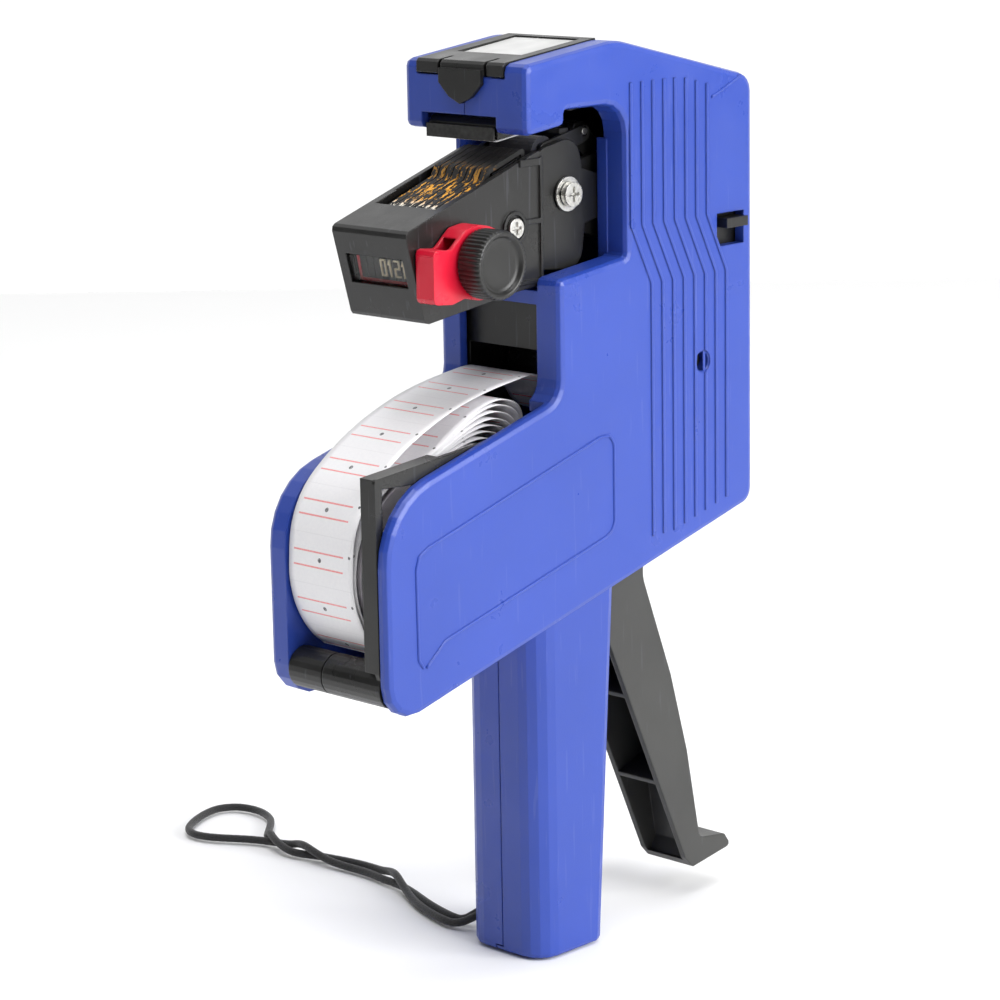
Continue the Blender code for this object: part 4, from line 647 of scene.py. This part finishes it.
FIGURE_WIDE, FIGURE_TALL, STROKE = 0.0014, 0.0038, 0.00019    # STROKE is half a stroke's width
BAND_PITCH, FIRST_BAND = 0.00225, -0.00788
face_low, face_high = np.array((-0.0442, 0.0, 0.1693)), np.array((-0.0476, 0.0, 0.1858))
climb = (face_high - face_low) / np.linalg.norm(face_high - face_low)
outward = np.array((-climb[2], 0.0, climb[0]))
along_y = np.array((0.0, -1.0, 0.0))
figure_bars = []
for place, figure in enumerate("51210"):
    left = FIRST_BAND + BAND_PITCH * place + FIGURE_WIDE / 2
    start = face_low + climb * 0.0056 + np.array((0.0, left, 0.0))
    for (x0, z0), (x1, z1) in STROKES[figure]:
        p = start + along_y * FIGURE_WIDE * x0 + climb * FIGURE_TALL * z0
        q = start + along_y * FIGURE_WIDE * x1 + climb * FIGURE_TALL * z1
        way = (q - p) / 2
        thin = np.cross(outward, way)
        thin *= STROKE / np.linalg.norm(thin)
        way *= 1 + STROKE / np.linalg.norm(way)
        figure_bars.append(((p + q) / 2 + outward * 0.00012, way, thin, outward * 0.00022))
figures = bars("window_figures", figure_bars)
ivory = moulded("ivory_figures", "#e9d9b2", "#f3e8cc", 0.5, 0.0001)
figures.data.materials.append(ivory)
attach(figures, "print_arm")
in_front = face_low + outward * 0.0009
level_bar = (in_front + climb * 0.0045, along_y * -0.0088, climb * 0.00035, outward * 0.0001)
end_bar = (in_front + climb * 0.0074 - along_y * 0.0084, climb * 0.0032, along_y * -0.00035,
           outward * 0.0001)
underline = bars("window_underline", [level_bar, end_bar])
underline.data.materials.append(moulded("underline_red", "#c01428", "#d41c30", 0.5, 0.0001))
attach(underline, "print_arm")


# ------------------------------------------------------------------------------------------------
# Windows: the clear pane over the figures, and the frosted pane in the nose cover.
# ------------------------------------------------------------------------------------------------
def pane(name, tint, rough, clear, ior):
    """Clear moulded plastic, faintly cloudy. clear is how much light goes through. An ior under
    that of plastic keeps glare off a pane."""
    made, tree = material(name)
    spot = node(tree, "TexCoord").outputs["Object"]
    cloud = node(tree, "TexNoise", [(spot, "Vector")], i_Scale=per_mm(0.12), i_Detail=4.0).outputs[0]
    gloss = spread(tree, cloud, 0.3, 0.7, rough, rough + 0.12)
    shade = blend_colour(tree, cloud, tint, "#ffffff")
    bump = node(tree, "Bump", [(cloud, "Height")], i_Strength=0.15, i_Distance=0.0002)
    finish = node(tree, "BsdfPrincipled",
                  [(shade, "Base Color"), (gloss, "Roughness"), (bump.outputs[0], "Normal")],
                  i_IOR=ior, i_Transmission_Weight=clear)
    node(tree, "OutputMaterial", [(finish.outputs[0], 0)])
    return made


finish_nodes(pane("number_pane", "#f0f0f0", 0.03, 0.97, 1.18), "number_window")
finish_nodes(pane("frosted_pane", "#c8c8c6", 0.4, 0.35, 1.49), "cover_window")


# ------------------------------------------------------------------------------------------------
# Ink roller: a sleeve of felt soaked in black ink, pushed on a steel axle. It is matt and slightly
# blue, with short standing hairs.
# ------------------------------------------------------------------------------------------------
felt, tree = material("inked_felt")
spot = node(tree, "TexCoord").outputs["Object"]
hairs = node(tree, "TexNoise", [(spot, "Vector")], i_Scale=per_mm(4.0), i_Detail=5.0).outputs[0]
shade = blend_colour(tree, hairs, "#08080c", "#242430")
bump = node(tree, "Bump", [(hairs, "Height")], i_Strength=0.8, i_Distance=0.0002)
finish = node(tree, "BsdfPrincipled", [(shade, "Base Color"), (bump.outputs[0], "Normal")],
              i_Roughness=0.9, i_Sheen_Weight=0.3)
node(tree, "OutputMaterial", [(finish.outputs[0], 0)])
finish_nodes(felt, "ink_roller")

# ------------------------------------------------------------------------------------------------
# Floor and light: a plain white floor and a white backdrop behind the gun, faint light all round,
# one large soft lamp at the knob side and one overhead.
# ------------------------------------------------------------------------------------------------
FLOOR_HALF, FLOOR_TOP, FLOOR_UNDER = 9.0, -0.0005, -0.02
square = np.array(((-1, -1), (1, -1), (1, 1), (-1, 1))) * FLOOR_HALF
floor = skin("floor", [[(x, y, z) for x, y in square] for z in (FLOOR_UNDER, FLOOR_TOP)])
floor_paint, tree = material("floor_white")
spot = node(tree, "TexCoord").outputs["Object"]
mottle = node(tree, "TexNoise", [(spot, "Vector")], i_Scale=per_mm(0.003)).outputs[0]
shade = blend_colour(tree, mottle, "#f6f6f6", "#f9f9f9")
finish = node(tree, "BsdfPrincipled", [(shade, "Base Color")], i_Roughness=0.9)
node(tree, "OutputMaterial", [(finish.outputs[0], 0)])
floor.data.polygons.foreach_set("use_smooth", np.zeros(len(floor.data.polygons), bool))
floor.data.materials.append(floor_paint)

far = np.array((0.72, 0.69, 0.0)) * 1.1       # foot of the backdrop, past the gun
wide = np.array((-0.69, 0.72, 0.0)) * 4.0
tall = np.array((0.0, 0.0, 3.0))
corners = np.array([far - wide, far + wide, far + wide + tall, far - wide + tall])
wall = skin("backdrop", [corners, corners + np.array((0.014, 0.014, 0.0))])
paint, tree = material("backdrop_white")
glow = node(tree, "Emission", i_Strength=1.1)
spot = node(tree, "TexCoord").outputs["Object"]
mottle = node(tree, "TexNoise", [(spot, "Vector")], i_Scale=per_mm(0.002)).outputs[0]
tree.links.new(blend_colour(tree, mottle, "#fbfbfb", "#ffffff"), glow.inputs[0])
node(tree, "OutputMaterial", [(glow.outputs[0], 0)])
wall.data.materials.append(paint)

world = bpy.data.worlds.new("room")
world.use_nodes = True
world.node_tree.nodes["Background"].inputs[0].default_value = (1.0, 1.0, 1.0, 1.0)
world.node_tree.nodes["Background"].inputs[1].default_value = 0.16
bpy.context.scene.world = world


def lamp(name, place, aim, width, height, power):
    """A large soft lamp pointing at aim."""
    made = bpy.data.objects.new(name, bpy.data.lights.new(name, "AREA"))
    made.data.shape = "RECTANGLE"
    made.data.size, made.data.size_y, made.data.energy = width, height, power
    made.location = place
    made.rotation_euler = (Vector(aim) - Vector(place)).to_track_quat("-Z", "Y").to_euler()
    bpy.context.scene.collection.objects.link(made)


lamp("side_lamp", (0.35, -1.5, 0.75), (0.0, 0.0, 0.12), 1.2, 1.0, 35.0)
lamp("top_lamp", (-0.3, -0.2, 1.6), (0.0, 0.0, 0.15), 1.2, 1.2, 19.0)
bpy.context.scene.view_settings.view_transform = "Standard"
